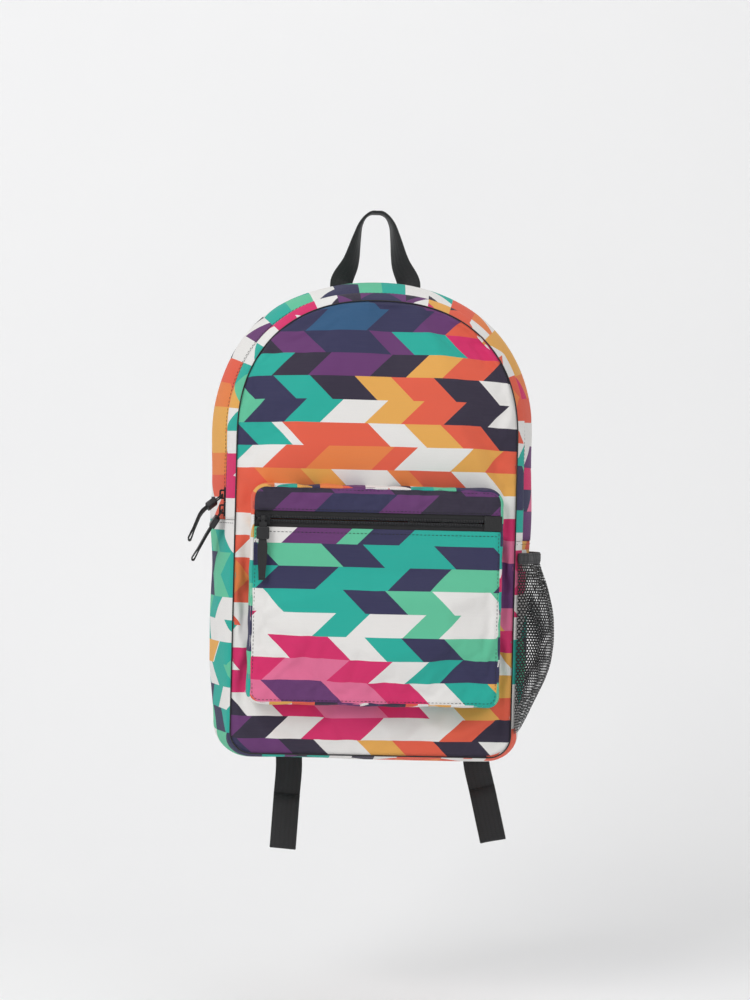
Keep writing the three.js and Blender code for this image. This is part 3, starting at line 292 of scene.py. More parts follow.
class MeshMaker:
    """Makes one finished piece from bmesh operators."""

    def __init__(self, name: str, source: bpy.types.Mesh | None = None) -> None:
        """Starts a piece.

        Args:
            name: The piece's name.
            source: A mesh to copy, or none for an empty start.
        """
        self.name = name
        self.bm = bmesh.new()
        if source is None:
            self.uv = self.bm.loops.layers.uv.new(CLOTH_UV)
        else:
            self.bm.from_mesh(source)

    def sheet(
        self,
        columns: int,
        rows: int,
        place: Callable[[float, float], Vector],
        cloth: Callable[[float, float], Pair],
        wrapped: bool = False,
    ) -> "MeshMaker":
        """Lays a grid over a surface.

        Args:
            columns: Faces across.
            rows: Faces along.
            place: Gives the point at a share across and a share along.
            cloth: Gives the cloth's own coordinates there, in metres.
            wrapped: Joins the last column to the first.

        Returns:
            This maker.
        """
        made = bmesh.ops.create_grid(
            self.bm, x_segments=columns, y_segments=rows, size=0.5
        )
        shares = {v: (v.co.x + 0.5, v.co.y + 0.5) for v in made["verts"]}
        for face in {f for v in made["verts"] for f in v.link_faces}:
            for loop in face.loops:
                loop[self.uv].uv = cloth(*shares[loop.vert])
        for vert, (u, v) in shares.items():
            vert.co = place(u, v)
        return self.merged() if wrapped else self

    def merged(self, distance: float = MERGED) -> "MeshMaker":
        """Makes corners that lie together one."""
        bmesh.ops.remove_doubles(self.bm, verts=self.bm.verts, dist=distance)
        return self

    def closed(self) -> "MeshMaker":
        """Fills what is open.

        Returns:
            This maker.
        """
        rim = [e for e in self.bm.edges if e.is_boundary]
        bmesh.ops.holes_fill(self.bm, edges=rim, sides=0)
        return self

    def tube(
        self, sections: Sequence[Sequence[Vector]], width: float, capped: bool = True
    ) -> "MeshMaker":
        """Joins closed sections of equal count into a tube.

        Args:
            sections: The corners of each section in turn.
            width: What the way round counts in the cloth's coordinates.
            capped: Closes both ends.

        Returns:
            This maker.
        """
        count, rows = len(sections[0]), len(sections) - 1
        run = lengths_along([
            (sum(after, Vector()) - sum(before, Vector())).length / count
            for before, after in pairs(sections)
        ])

        def place(u: float, v: float) -> Vector:
            """Picks the corner at a share round and a share along."""
            return sections[round(v * rows)][round(u * count) % count]

        def cloth(u: float, v: float) -> Pair:
            """Gives the cloth's coordinates there."""
            return u * width, run[round(v * rows)]

        self.sheet(count, rows, place, cloth, wrapped=True)
        return self.closed() if capped else self

    def turned_out(self, inside: Vector | None = None) -> "MeshMaker":
        """Turns the faces outwards.

        Args:
            inside: A point that they turn away from, where the piece isn't closed.

        Returns:
            This maker.
        """
        bmesh.ops.recalc_face_normals(self.bm, faces=self.bm.faces)
        if inside is not None:
            facing = sum(
                f.normal.dot(f.calc_center_median() - inside) * f.calc_area()
                for f in self.bm.faces
            )
            if facing < 0:
                bmesh.ops.reverse_faces(self.bm, faces=self.bm.faces)
        return self

    def finish(
        self, finish: "Finish", body: str, slot: str, thickness: float = 0.0,
        smoothing: int = 0, settling: Settling | None = None,
    ) -> bpy.types.Object:
        """Turns the mesh into a piece that rides on a body.

        Args:
            finish: The finish that dresses it.
            body: The frame's body that carries it.
            slot: The record's material slot; not used.
            thickness: Wall given inwards to an open sheet.
            smoothing: Levels of subdivision.
            settling: A simulation that shapes the sheet first.

        Returns:
            The new object.
        """
        mesh = bpy.data.meshes.new(self.name)
        self.bm.to_mesh(mesh)
        self.bm.free()
        piece = linked(self.name, mesh)
        mesh.shade_smooth()
        if settling is not None:
            settling.run(piece)
        if thickness:
            wall = piece.modifiers.new("wall", "SOLIDIFY")
            wall.thickness = thickness
            wall.offset = -1.0
            wall.use_rim = True
        if smoothing:
            subdivision = piece.modifiers.new("smooth", "SUBSURF")
            subdivision.levels = smoothing
            subdivision.render_levels = smoothing
        mesh.materials.append(finish.material())
        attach(piece, body)
        log.info("made %s with %d faces", self.name, len(mesh.polygons))
        return piece


NODE_MERGED = 2e-6
FLAT_WITHIN = radians(1.5)
ROUNDED_OVER = radians(28)
SHARP_OVER = radians(50)


def softened(
    node: str, name: str, finish: "Finish", body: str, slot: str,
    width: float, segments: int = 2,
) -> bpy.types.Object:
    """Copies a frame node with rounded edges and stands it in the node's place.

    Args:
        node: The frame's node.
        name: The new piece's name.
        finish: The finish that dresses it.
        body: The body that carries it.
        slot: The record's material slot; not used.
        width: The width of the rounding.
        segments: Steps in the rounding.

    Returns:
        The new piece.
    """
    maker = MeshMaker(name, bpy.data.objects[node].data).merged(NODE_MERGED)
    bmesh.ops.dissolve_limit(
        maker.bm, angle_limit=FLAT_WITHIN, verts=maker.bm.verts, edges=maker.bm.edges
    )
    piece = maker.finish(finish, body, slot)
    rounding = piece.modifiers.new("rounded", "BEVEL")
    rounding.width = width
    rounding.segments = segments
    rounding.limit_method = "ANGLE"
    rounding.angle_limit = ROUNDED_OVER
    piece.data.set_sharp_from_angle(angle=SHARP_OVER)
    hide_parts(node)
    return piece


# Finishes


class Wiring:
    """Writes shader nodes in few words."""

    def __init__(self, tree: Tree) -> None:
        """Works in one node tree."""
        self.tree = tree

    def node(self, kind: str, **settings: object) -> Node:
        """Adds a node.

        Args:
            kind: Its type.
            settings: Its properties, by name.

        Returns:
            The node.
        """
        node = self.tree.nodes.new(kind)
        for key, value in settings.items():
            setattr(node, key, value)
        return node

    def feed(self, socket: Socket, value: Value) -> None:
        """Links a socket to another, or sets its value.

        Args:
            socket: The input to feed.
            value: Another node's output, or a plain value.
        """
        if isinstance(value, Socket):
            self.tree.links.new(value, socket)
        else:
            socket.default_value = value

    def result(self, node: Node, values: Sequence[Value]) -> Socket:
        """Feeds a node's inputs in their order.

        Args:
            node: The node.
            values: What goes into its first inputs.

        Returns:
            The node's first output.
        """
        for socket, value in zip(node.inputs, values):
            self.feed(socket, value)
        return node.outputs[0]

    def math(self, operation: str, *values: Value) -> Socket:
        """Adds a Math node and gives its result."""
        return self.result(self.node("ShaderNodeMath", operation=operation), values)

    def times(self, first: Value, second: Value) -> Socket:
        """Multiplies."""
        return self.math("MULTIPLY", first, second)

    def over(self, first: Value, second: Value) -> Socket:
        """Divides."""
        return self.math("DIVIDE", first, second)

    def plus(self, first: Value, second: Value) -> Socket:
        """Adds."""
        return self.math("ADD", first, second)

    def less(self, first: Value, second: Value) -> Socket:
        """Takes the second from the first."""
        return self.math("SUBTRACT", first, second)

    def line(self, value: Value, slope: float, start: Value) -> Socket:
        """Gives slope times the value, plus start."""
        return self.math("MULTIPLY_ADD", value, slope, start)

    def whole(self, value: Value) -> Socket:
        """Rounds down."""
        return self.math("FLOOR", value)

    def humps(self, value: Value) -> Socket:
        """Gives a hump from 0 to 1 and back for each whole number."""
        return self.math("ABSOLUTE", self.math("SINE", self.times(value, pi)))

    def combine(self, x: Value, y: Value, z: Value = 0.0) -> Socket:
        """Makes a vector of three numbers."""
        return self.result(self.node("ShaderNodeCombineXYZ"), (x, y, z))

    def split(self, vector: Value) -> tuple[Socket, Socket, Socket]:
        """Takes a vector apart.

        Args:
            vector: What is split.

        Returns:
            Its three numbers.
        """
        node = self.node("ShaderNodeSeparateXYZ")
        self.result(node, (vector,))
        return node.outputs[0], node.outputs[1], node.outputs[2]

    def blend(self, amount: Value, first: object, second: object) -> Socket:
        """Mixes two colours.

        Args:
            amount: Share of the second.
            first: A colour or an output.
            second: The other.

        Returns:
            The mixed colour.
        """
        node = self.node("ShaderNodeMix", data_type="RGBA")
        for place, value in ((0, amount), (6, first), (7, second)):
            self.feed(node.inputs[place], value)
        return node.outputs[2]

    def ramp(
        self, value: Value, stops: Sequence[tuple[float, object]], sharp: bool = False
    ) -> Socket:
        """Adds a colour ramp.

        Args:
            value: What drives it.
            stops: Places and colours.
            sharp: Steps from colour to colour.

        Returns:
            The colour.
        """
        node = self.node("ShaderNodeValToRGB")
        ramp = node.color_ramp
        ramp.interpolation = "CONSTANT" if sharp else "EASE"
        while len(ramp.elements) < len(stops):
            ramp.elements.new(1.0)
        for element, (place, colour) in zip(ramp.elements, stops):
            element.position = place
            element.color = colour
        return self.result(node, (value,))

    def noise(self, vector: Value, scale: float, detail: float = 2.0) -> Socket:
        """Adds a Noise texture.

        Args:
            vector: Where it is read.
            scale: Swells to the metre.
            detail: How many finer layers it has.

        Returns:
            Its value.
        """
        node = self.node("ShaderNodeTexNoise")
        self.feed(node.inputs["Vector"], vector)
        self.feed(node.inputs["Scale"], scale)
        self.feed(node.inputs["Detail"], detail)
        return node.outputs[0]

    def chance(self, vector: Value) -> Socket:
        """Gives each whole-numbered vector its own value from 0 to 1."""
        node = self.node("ShaderNodeTexWhiteNoise", noise_dimensions="3D")
        return self.result(node, (vector,))

    def group(self, tree: Tree, **inputs: object) -> bpy.types.NodeOutputs:
        """Places a node group.

        Args:
            tree: The group's tree.
            inputs: What its inputs take, by name.

        Returns:
            Its outputs.
        """
        node = self.node("ShaderNodeGroup", node_tree=tree)
        for key, value in inputs.items():
            self.feed(node.inputs[key], value)
        return node.outputs


class Effect(Enum):
    """The effects that more than one material shares."""

    WEAVE = "plain weave"
    RIBS = "ribbed webbing"
    GRAIN = "moulded grain"
    PRINT = "stepped diamond print"
    NET = "knitted net"
    SOFT_FOLDS = "soft folds"


KINDS = {"Vector": "NodeSocketVector", "Color": "NodeSocketColor"}
HEXAGON = 0.866  # height of a honeycomb's row to its cell's width


def effect_tree(
    effect: Effect, inputs: Sequence[str], outputs: Sequence[str]
) -> tuple[Tree, Wiring, bpy.types.NodeOutputs, bpy.types.NodeInputs]:
    """Starts a node group with its named sockets.

    Args:
        effect: Which effect it is.
        inputs: Names of what goes in after the vector.
        outputs: Names of what comes out.

    Returns:
        The tree, its wiring, what goes into the group and what comes out of it.
    """
    tree = bpy.data.node_groups.new(effect.value, "ShaderNodeTree")
    for direction, names in (("INPUT", ("Vector", *inputs)), ("OUTPUT", outputs)):
        for name in names:
            kind = KINDS.get(name, "NodeSocketFloat")
            tree.interface.new_socket(name=name, in_out=direction, socket_type=kind)
    wiring = Wiring(tree)
    take, give = wiring.node("NodeGroupInput"), wiring.node("NodeGroupOutput")
    return tree, wiring, take.outputs, give.inputs


def build_weave() -> Tree:
    """Plain weave: two crossing sets of threads, and slubs.

    Returns:
        The group's tree.
    """
    tree, w, take, give = effect_tree(Effect.WEAVE, ["Pitch"], ["Height", "Slub"])
    u, v, _ = w.split(take["Vector"])
    across = w.over(u, take["Pitch"])
    up = w.over(v, take["Pitch"])
    warp, weft = w.humps(across), w.humps(up)
    over = w.math("MODULO", w.plus(w.whole(across), w.whole(up)), 2.0)
    over = w.math("ABSOLUTE", over)
    height = w.plus(w.times(warp, over), w.times(weft, w.less(1.0, over)))
    slub = w.noise(w.combine(w.times(u, 40.0), w.times(v, 900.0)), 1.0)
    w.feed(give["Height"], height)
    w.feed(give["Slub"], slub)
    return tree


def build_ribs() -> Tree:
    """Webbing: lengthwise ribs, broken by small diagonal floats.

    Returns:
        The group's tree.
    """
    tree, w, take, give = effect_tree(Effect.RIBS, ["Pitch"], ["Height", "Shade"])
    u, v, _ = w.split(take["Vector"])
    pitch = take["Pitch"]
    lane = w.over(u, pitch)
    rib = w.humps(lane)
    shift = w.times(w.math("PINGPONG", w.whole(lane), 1.0), 0.5)
    knuckle = w.humps(w.plus(w.over(v, w.times(pitch, 1.6)), shift))
    height = w.times(w.math("POWER", rib, 0.6), w.line(knuckle, 0.6, 0.4))
    w.feed(give["Height"], height)
    w.feed(give["Shade"], w.noise(take["Vector"], 60.0, 3.0))
    return tree


def build_grain() -> Tree:
    """Moulded grain: a fine eroded texture.

    Returns:
        The group's tree.
    """
    tree, w, take, give = effect_tree(Effect.GRAIN, ["Scale"], ["Height", "Dust"])
    spread = w.node("ShaderNodeVectorMath", operation="SCALE")
    w.feed(spread.inputs[0], take["Vector"])
    w.feed(spread.inputs["Scale"], take["Scale"])
    w.feed(give["Height"], w.noise(spread.outputs[0], 1.0, 3.0))
    w.feed(give["Dust"], w.noise(take["Vector"], 45.0, 4.0))
    return tree


def build_folds() -> Tree:
    """Soft folds: broad low swells and finer creases.

    Returns:
        The group's tree.
    """
    tree, w, take, give = effect_tree(Effect.SOFT_FOLDS, [], ["Height", "Shade"])
    broad = w.noise(take["Vector"], 14.0, 2.0)
    u, v, r = w.split(take["Vector"])
    fine = w.noise(w.combine(w.times(u, 90.0), w.times(v, 26.0), r), 1.0, 3.0)
    w.feed(give["Height"], w.line(fine, 0.35, broad))
    w.feed(give["Shade"], w.noise(take["Vector"], 7.0, 3.0))
    return tree


def build_net() -> Tree:
    """Net: a honeycomb of threads, opaque on the threads and open between.

    Returns:
        The group's tree.
    """
    tree, w, take, give = effect_tree(Effect.NET, ["Cell", "Thread"], ["Mask", "Height"])
    u, v, _ = w.split(take["Vector"])
    across = w.over(u, take["Cell"])
    up = w.over(v, w.times(take["Cell"], HEXAGON))
    lean = w.times(w.math("PINGPONG", w.whole(up), 1.0), 0.5)
    dx = w.less(w.math("FRACT", w.plus(across, lean)), 0.5)
    dy = w.times(w.less(w.math("FRACT", up), 0.5), HEXAGON)
    ring = w.math("SQRT", w.plus(w.times(dx, dx), w.times(dy, dy)))
    inner = w.less(0.5, take["Thread"])
    w.feed(give["Mask"], w.math("GREATER_THAN", ring, inner))
    w.feed(give["Height"], ring)
    return tree


PALETTE = {
    "white": linear("#EFEDEA"),
    "teal": linear("#10B09F"),
    "mint": linear("#5FC79E"),
    "navy": linear("#2B2B52"),
    "plum": linear("#2A2238"),
    "purple": linear("#66306E"),
    "magenta": linear("#DC2068"),
    "pink": linear("#E8709A"),
    "coral": linear("#EA5E42"),
    "orange": linear("#EE8442"),
    "amber": linear("#EDAE52"),
    "blue": linear("#23567F"),
}

BANDS = (
    ("white", "teal", "mint", "navy"),
    ("white", "coral", "orange", "amber"),
    ("plum", "purple", "navy", "blue"),
    ("white", "magenta", "pink", "purple"),
    ("teal", "navy", "mint", "white"),
    ("amber", "coral", "plum", "white"),
)
ACCENTS = ("white", "magenta", "amber", "navy", "white", "teal", "purple", "coral")


BAND_STARTS = (0.0, 0.2, 0.44, 0.7)
ROW_HEIGHT = 0.0195
ROWS_TALL = 8.0
DIAMOND_WIDTH = 0.30
JOG = 0.018
ODD_WIDTH = 0.047
ODD_OVER = 0.89


def build_print() -> Tree:
    """Print: nested diamonds cut into slanted rows, each in its own colours, and odd blocks.

    Returns:
        The group's tree.
    """
    tree, w, take, give = effect_tree(Effect.PRINT, ["Seed"], ["Color"])
    seed = take["Seed"]
    u, v, _ = w.split(take["Vector"])
    rows = w.over(v, ROW_HEIGHT)
    row = w.whole(rows)
    share = w.less(w.less(rows, row), 0.5)
    turn = w.line(w.math("PINGPONG", row, 1.0), -2.0, 1.0)
    jog = w.line(w.chance(w.combine(row, seed)), JOG, -JOG / 2)
    lean = w.times(w.times(share, turn), ROW_HEIGHT)
    slanted = w.plus(w.plus(u, lean), jog)
    level = w.over(w.plus(row, 0.5), ROWS_TALL)
    across = w.over(slanted, DIAMOND_WIDTH)
    cells, nears = [], []
    for slope in (w.plus(across, level), w.less(across, level)):
        part = w.math("FRACT", slope)
        cells.append(w.whole(slope))
        nears.append(w.math("MINIMUM", part, w.less(1.0, part)))
    depth = w.times(w.math("MINIMUM", *nears), 2.0)
    family = w.chance(w.combine(*cells, seed))
    painted = [
        w.ramp(depth, [(p, PALETTE[c]) for p, c in zip(BAND_STARTS, band)], sharp=True)
        for band in BANDS
    ]
    colour = painted[0]
    for i, other in enumerate(painted[1:], 1):
        chosen = w.math("GREATER_THAN", family, i / len(BANDS))
        colour = w.blend(chosen, colour, other)
    block = w.whole(w.over(slanted, ODD_WIDTH))
    odd = w.chance(w.combine(block, row, w.plus(seed, 11.3)))
    pick = w.chance(w.combine(row, block, w.plus(seed, 4.9)))
    stops = [(i / len(ACCENTS), PALETTE[c]) for i, c in enumerate(ACCENTS)]
    accent = w.ramp(pick, stops, sharp=True)
    w.feed(give["Color"], w.blend(w.math("GREATER_THAN", odd, ODD_OVER), colour, accent))
    return tree


BUILDERS: dict[Effect, Callable[[], Tree]] = {
    Effect.WEAVE: build_weave,
    Effect.RIBS: build_ribs,
    Effect.GRAIN: build_grain,
    Effect.PRINT: build_print,
    Effect.NET: build_net,
    Effect.SOFT_FOLDS: build_folds,
}


@cache
def effect(kind: Effect) -> Tree:
    """Gives an effect's node group, built the first time it is asked for."""
    return BUILDERS[kind]()


@dataclass(frozen=True)
class Finish:
    """What every finish shares: a name, and a Principled shader that a subclass dresses."""

    name: str

    @cache
    def material(self) -> bpy.types.Material:
        """Gives the finish's material, made once.

        Returns:
            The material.
        """
        material = bpy.data.materials.new(self.name)
        material.use_nodes = True
        self.dress(Wiring(material.node_tree), material.node_tree.nodes["Principled BSDF"])
        return material

    def dress(self, w: Wiring, shader: Node) -> None:
        """Feeds the material's Principled shader, in each finish's own way."""
        raise NotImplementedError

    def paint(self, w: Wiring, shader: Node, colour: Socket, roughness: Socket) -> None:
        """Feeds the shader's colour and roughness."""
        w.feed(shader.inputs["Base Color"], colour)
        w.feed(shader.inputs["Roughness"], roughness)

    def cloth_place(self, w: Wiring) -> Socket:
        """Gives the piece's own cloth coordinates."""
        return w.node("ShaderNodeUVMap", uv_map=CLOTH_UV).outputs[0]

    def own_place(self, w: Wiring) -> Socket:
        """Gives the coordinates of the piece itself."""
        return w.node("ShaderNodeTexCoord").outputs["Object"]

    def raise_surface(
        self, w: Wiring, shader: Node, layers: Sequence[tuple[Socket, float, float]]
    ) -> None:
        """Chains bumps into the shader's normal.

        Args:
            w: The wiring.
            shader: The Principled shader.
            layers: Height, distance in metres and strength of each bump.
        """
        normal = None
        for height, distance, strength in layers:
            bump = w.node("ShaderNodeBump")
            w.feed(bump.inputs["Distance"], distance)
            w.feed(bump.inputs["Strength"], strength)
            w.feed(bump.inputs["Height"], height)
            if normal is not None:
                w.feed(bump.inputs["Normal"], normal)
            normal = bump.outputs[0]
        w.feed(shader.inputs["Normal"], normal)


@dataclass(frozen=True)
class PrintedCloth(Finish):
    """Printed polyester in plain weave."""

    seed: float = 0.0
    shift: Pair = (0.0, 0.0)

    def dress(self, w: Wiring, shader: Node) -> None:
        """Paints the print, and weaves and folds the surface.

        Args:
            w: The material's wiring.
            shader: The shader to feed.
        """
        place = self.cloth_place(w)
        moved = w.node("ShaderNodeMapping")
        w.feed(moved.inputs["Vector"], place)
        w.feed(moved.inputs["Location"], (*self.shift, 0.0))
        painted = w.group(effect(Effect.PRINT), Vector=moved.outputs[0], Seed=self.seed)
        weave = w.group(effect(Effect.WEAVE), Vector=place, Pitch=0.0008)
        folds = w.group(effect(Effect.SOFT_FOLDS), Vector=place)
        worn = w.times(folds["Shade"], 0.04)
        faded = w.blend(worn, painted["Color"], linear("#B9B5B6"))
        thread = w.times(weave["Slub"], 0.06)
        # Painted shade: the weave's hollows between threads are darkened towards #4A474E.
        weave_gap_shade = w.line(weave["Height"], -0.16, 0.16)
        threaded = w.blend(thread, faded, linear("#8E8A92"))
        self.paint(w, shader, w.blend(weave_gap_shade, threaded, linear("#4A474E")),
                   w.line(weave["Slub"], 0.12, 0.74))
        w.feed(shader.inputs["Sheen Weight"], 0.04)
        w.feed(shader.inputs["Sheen Roughness"], 0.5)
        w.feed(shader.inputs["Specular IOR Level"], 0.25)
        self.raise_surface(w, shader, [
            (folds["Height"], 0.0022, 0.5),
            (weave["Height"], 0.00016, 0.6),
        ])


@dataclass(frozen=True)
class WovenTape(Finish):
    """Black ribbed webbing or tape."""

    colour: str = "#222224"
    pitch: float = 0.0011
    depth: float = 0.00025
    follows_cloth: bool = True

    def dress(self, w: Wiring, shader: Node) -> None:
        """Ribs the surface and lifts the ribs' colour a little.

        Args:
            w: The material's wiring.
            shader: The shader to feed.
        """
        place = self.cloth_place(w) if self.follows_cloth else self.own_place(w)
        ribs = w.group(effect(Effect.RIBS), Vector=place, Pitch=self.pitch)
        lit = w.line(ribs["Height"], 0.45, 0.1)
        base = w.blend(lit, linear("#0C0C0D"), linear(self.colour))
        dusty = w.times(ribs["Shade"], 0.12)
        self.paint(w, shader, w.blend(dusty, base, linear("#4C4C50")),
                   w.line(ribs["Shade"], 0.2, 0.62))
        w.feed(shader.inputs["Sheen Weight"], 0.1)
        self.raise_surface(w, shader, [(ribs["Height"], self.depth, 0.8)])


@dataclass(frozen=True)
class Padding(Finish):
    """Black padded cloth, as an open knit or a close weave."""

    colour: str = "#232326"
    knit: bool = False

    def dress(self, w: Wiring, shader: Node) -> None:
        """Weaves or knits the surface.

        Args:
            w: The material's wiring.
            shader: The shader to feed.
        """
        place = self.cloth_place(w)
        folds = w.group(effect(Effect.SOFT_FOLDS), Vector=place)
        if self.knit:
            surface = w.group(effect(Effect.NET), Vector=place, Cell=0.0021, Thread=0.13)
            depth, lit = 0.0009, w.times(surface["Mask"], 0.8)
        else:
            surface = w.group(effect(Effect.WEAVE), Vector=place, Pitch=0.0007)
            depth, lit = 0.0002, w.line(surface["Height"], 0.6, 0.2)
        base = w.blend(lit, linear("#0D0D0F"), linear(self.colour))
        aged = w.times(folds["Shade"], 0.15)
        self.paint(w, shader, w.blend(aged, base, linear("#46464B")),
                   w.line(folds["Shade"], 0.15, 0.75))
        w.feed(shader.inputs["Sheen Weight"], 0.15)
        self.raise_surface(w, shader, [
            (folds["Height"], 0.002, 0.3),
            (surface["Height"], depth, 0.7),
        ])


@dataclass(frozen=True)
class OpenNet(Finish):
    """The side pocket's knitted net, open between its threads."""

    colour: str = "#131315"
    cell: float = 0.0029

    def dress(self, w: Wiring, shader: Node) -> None:
        """Opens the cells and rounds the threads.

        Args:
            w: The material's wiring.
            shader: The shader to feed.
        """
        place = self.cloth_place(w)
        net = w.group(effect(Effect.NET), Vector=place, Cell=self.cell, Thread=0.2)
        shade = w.blend(net["Height"], linear("#060607"), linear(self.colour))
        self.paint(w, shader, shade, w.line(net["Height"], 0.3, 0.5))
        w.feed(shader.inputs["Alpha"], net["Mask"])
        self.raise_surface(w, shader, [(net["Height"], 0.0006, 0.5)])


@dataclass(frozen=True)
class Moulded(Finish):
    """Black moulded plastic, or painted metal when it is metallic."""

    colour: str = "#1A1A1C"
    roughness: float = 0.42
    metallic: float = 0.0
    grain: float = 2200.0
    grain_depth: float = 0.00004

    def dress(self, w: Wiring, shader: Node) -> None:
        """Grains the surface and dulls it unevenly.

        Args:
            w: The material's wiring.
            shader: The shader to feed.
        """
        grain = w.group(effect(Effect.GRAIN), Vector=self.own_place(w), Scale=self.grain)
        dull = w.times(grain["Dust"], 0.25)
        self.paint(w, shader, w.blend(dull, linear(self.colour), linear("#3A3A3D")),
                   w.line(grain["Dust"], 0.25, self.roughness - 0.1))
        w.feed(shader.inputs["Metallic"], self.metallic)
        self.raise_surface(w, shader, [(grain["Height"], self.grain_depth, 0.5)])


@dataclass(frozen=True)
class Thread(Finish):
    """Sewing thread, twisted."""

    colour: str = "#141416"

    def dress(self, w: Wiring, shader: Node) -> None:
        """Twists the thread.

        Args:
            w: The material's wiring.
            shader: The shader to feed.
        """
        grain = w.group(effect(Effect.GRAIN), Vector=self.own_place(w), Scale=5000.0)
        lit = w.times(grain["Height"], 0.3)
        self.paint(w, shader, w.blend(lit, linear(self.colour), linear("#3C3C40")),
                   w.line(grain["Dust"], 0.2, 0.5))
        self.raise_surface(w, shader, [(grain["Height"], 0.0001, 0.5)])


BLACK_WEBBING = WovenTape("black webbing")
ZIP_TAPE = WovenTape("zip tape", colour="#29292B", pitch=0.0007, depth=0.00012,
                     follows_cloth=False)
PULL_TAPE = WovenTape("pull tape", colour="#202022", pitch=0.0008, depth=0.0001,
                      follows_cloth=False)
ELASTIC = WovenTape("folded elastic", colour="#4A4A4E", pitch=0.0009, depth=0.0003)
PADDED_CLOTH = Padding("padded cloth")
PADDED_KNIT = Padding("padded knit", colour="#2C2C30", knit=True)
NET = OpenNet("pocket net")
PLASTIC = Moulded("moulded plastic")
COIL_PLASTIC = Moulded("zip coil", colour="#2B2B2E", roughness=0.38)
BLACK_METAL = Moulded("black slider", colour="#1E1E21", roughness=0.36, metallic=0.4,
                      grain=900.0, grain_depth=0.00002)
BLACK_THREAD = Thread("black thread")


# The bag's shape


@dataclass(frozen=True)
class Place:
    """A place on the body's outline: where, which way is out, and its share of the outset."""

    x: float
    z: float
    nx: float
    nz: float
    share: float = 1.0

    @property
    def outward(self) -> Vector:
        """Which way is out."""
        return Vector((self.nx, 0, self.nz))

    def offset(self, out: float, y: float) -> Vector:
        """Gives the point that far outside, at a depth."""
        return Vector((self.x + self.nx * out, y, self.z + self.nz * out))


def outline_lengths(line: Sequence[Place]) -> list[float]:
    """Measures an outline from its first place to each of the others."""
    return lengths_along([hypot(b.x - a.x, b.z - a.z) for a, b in pairs(line)])


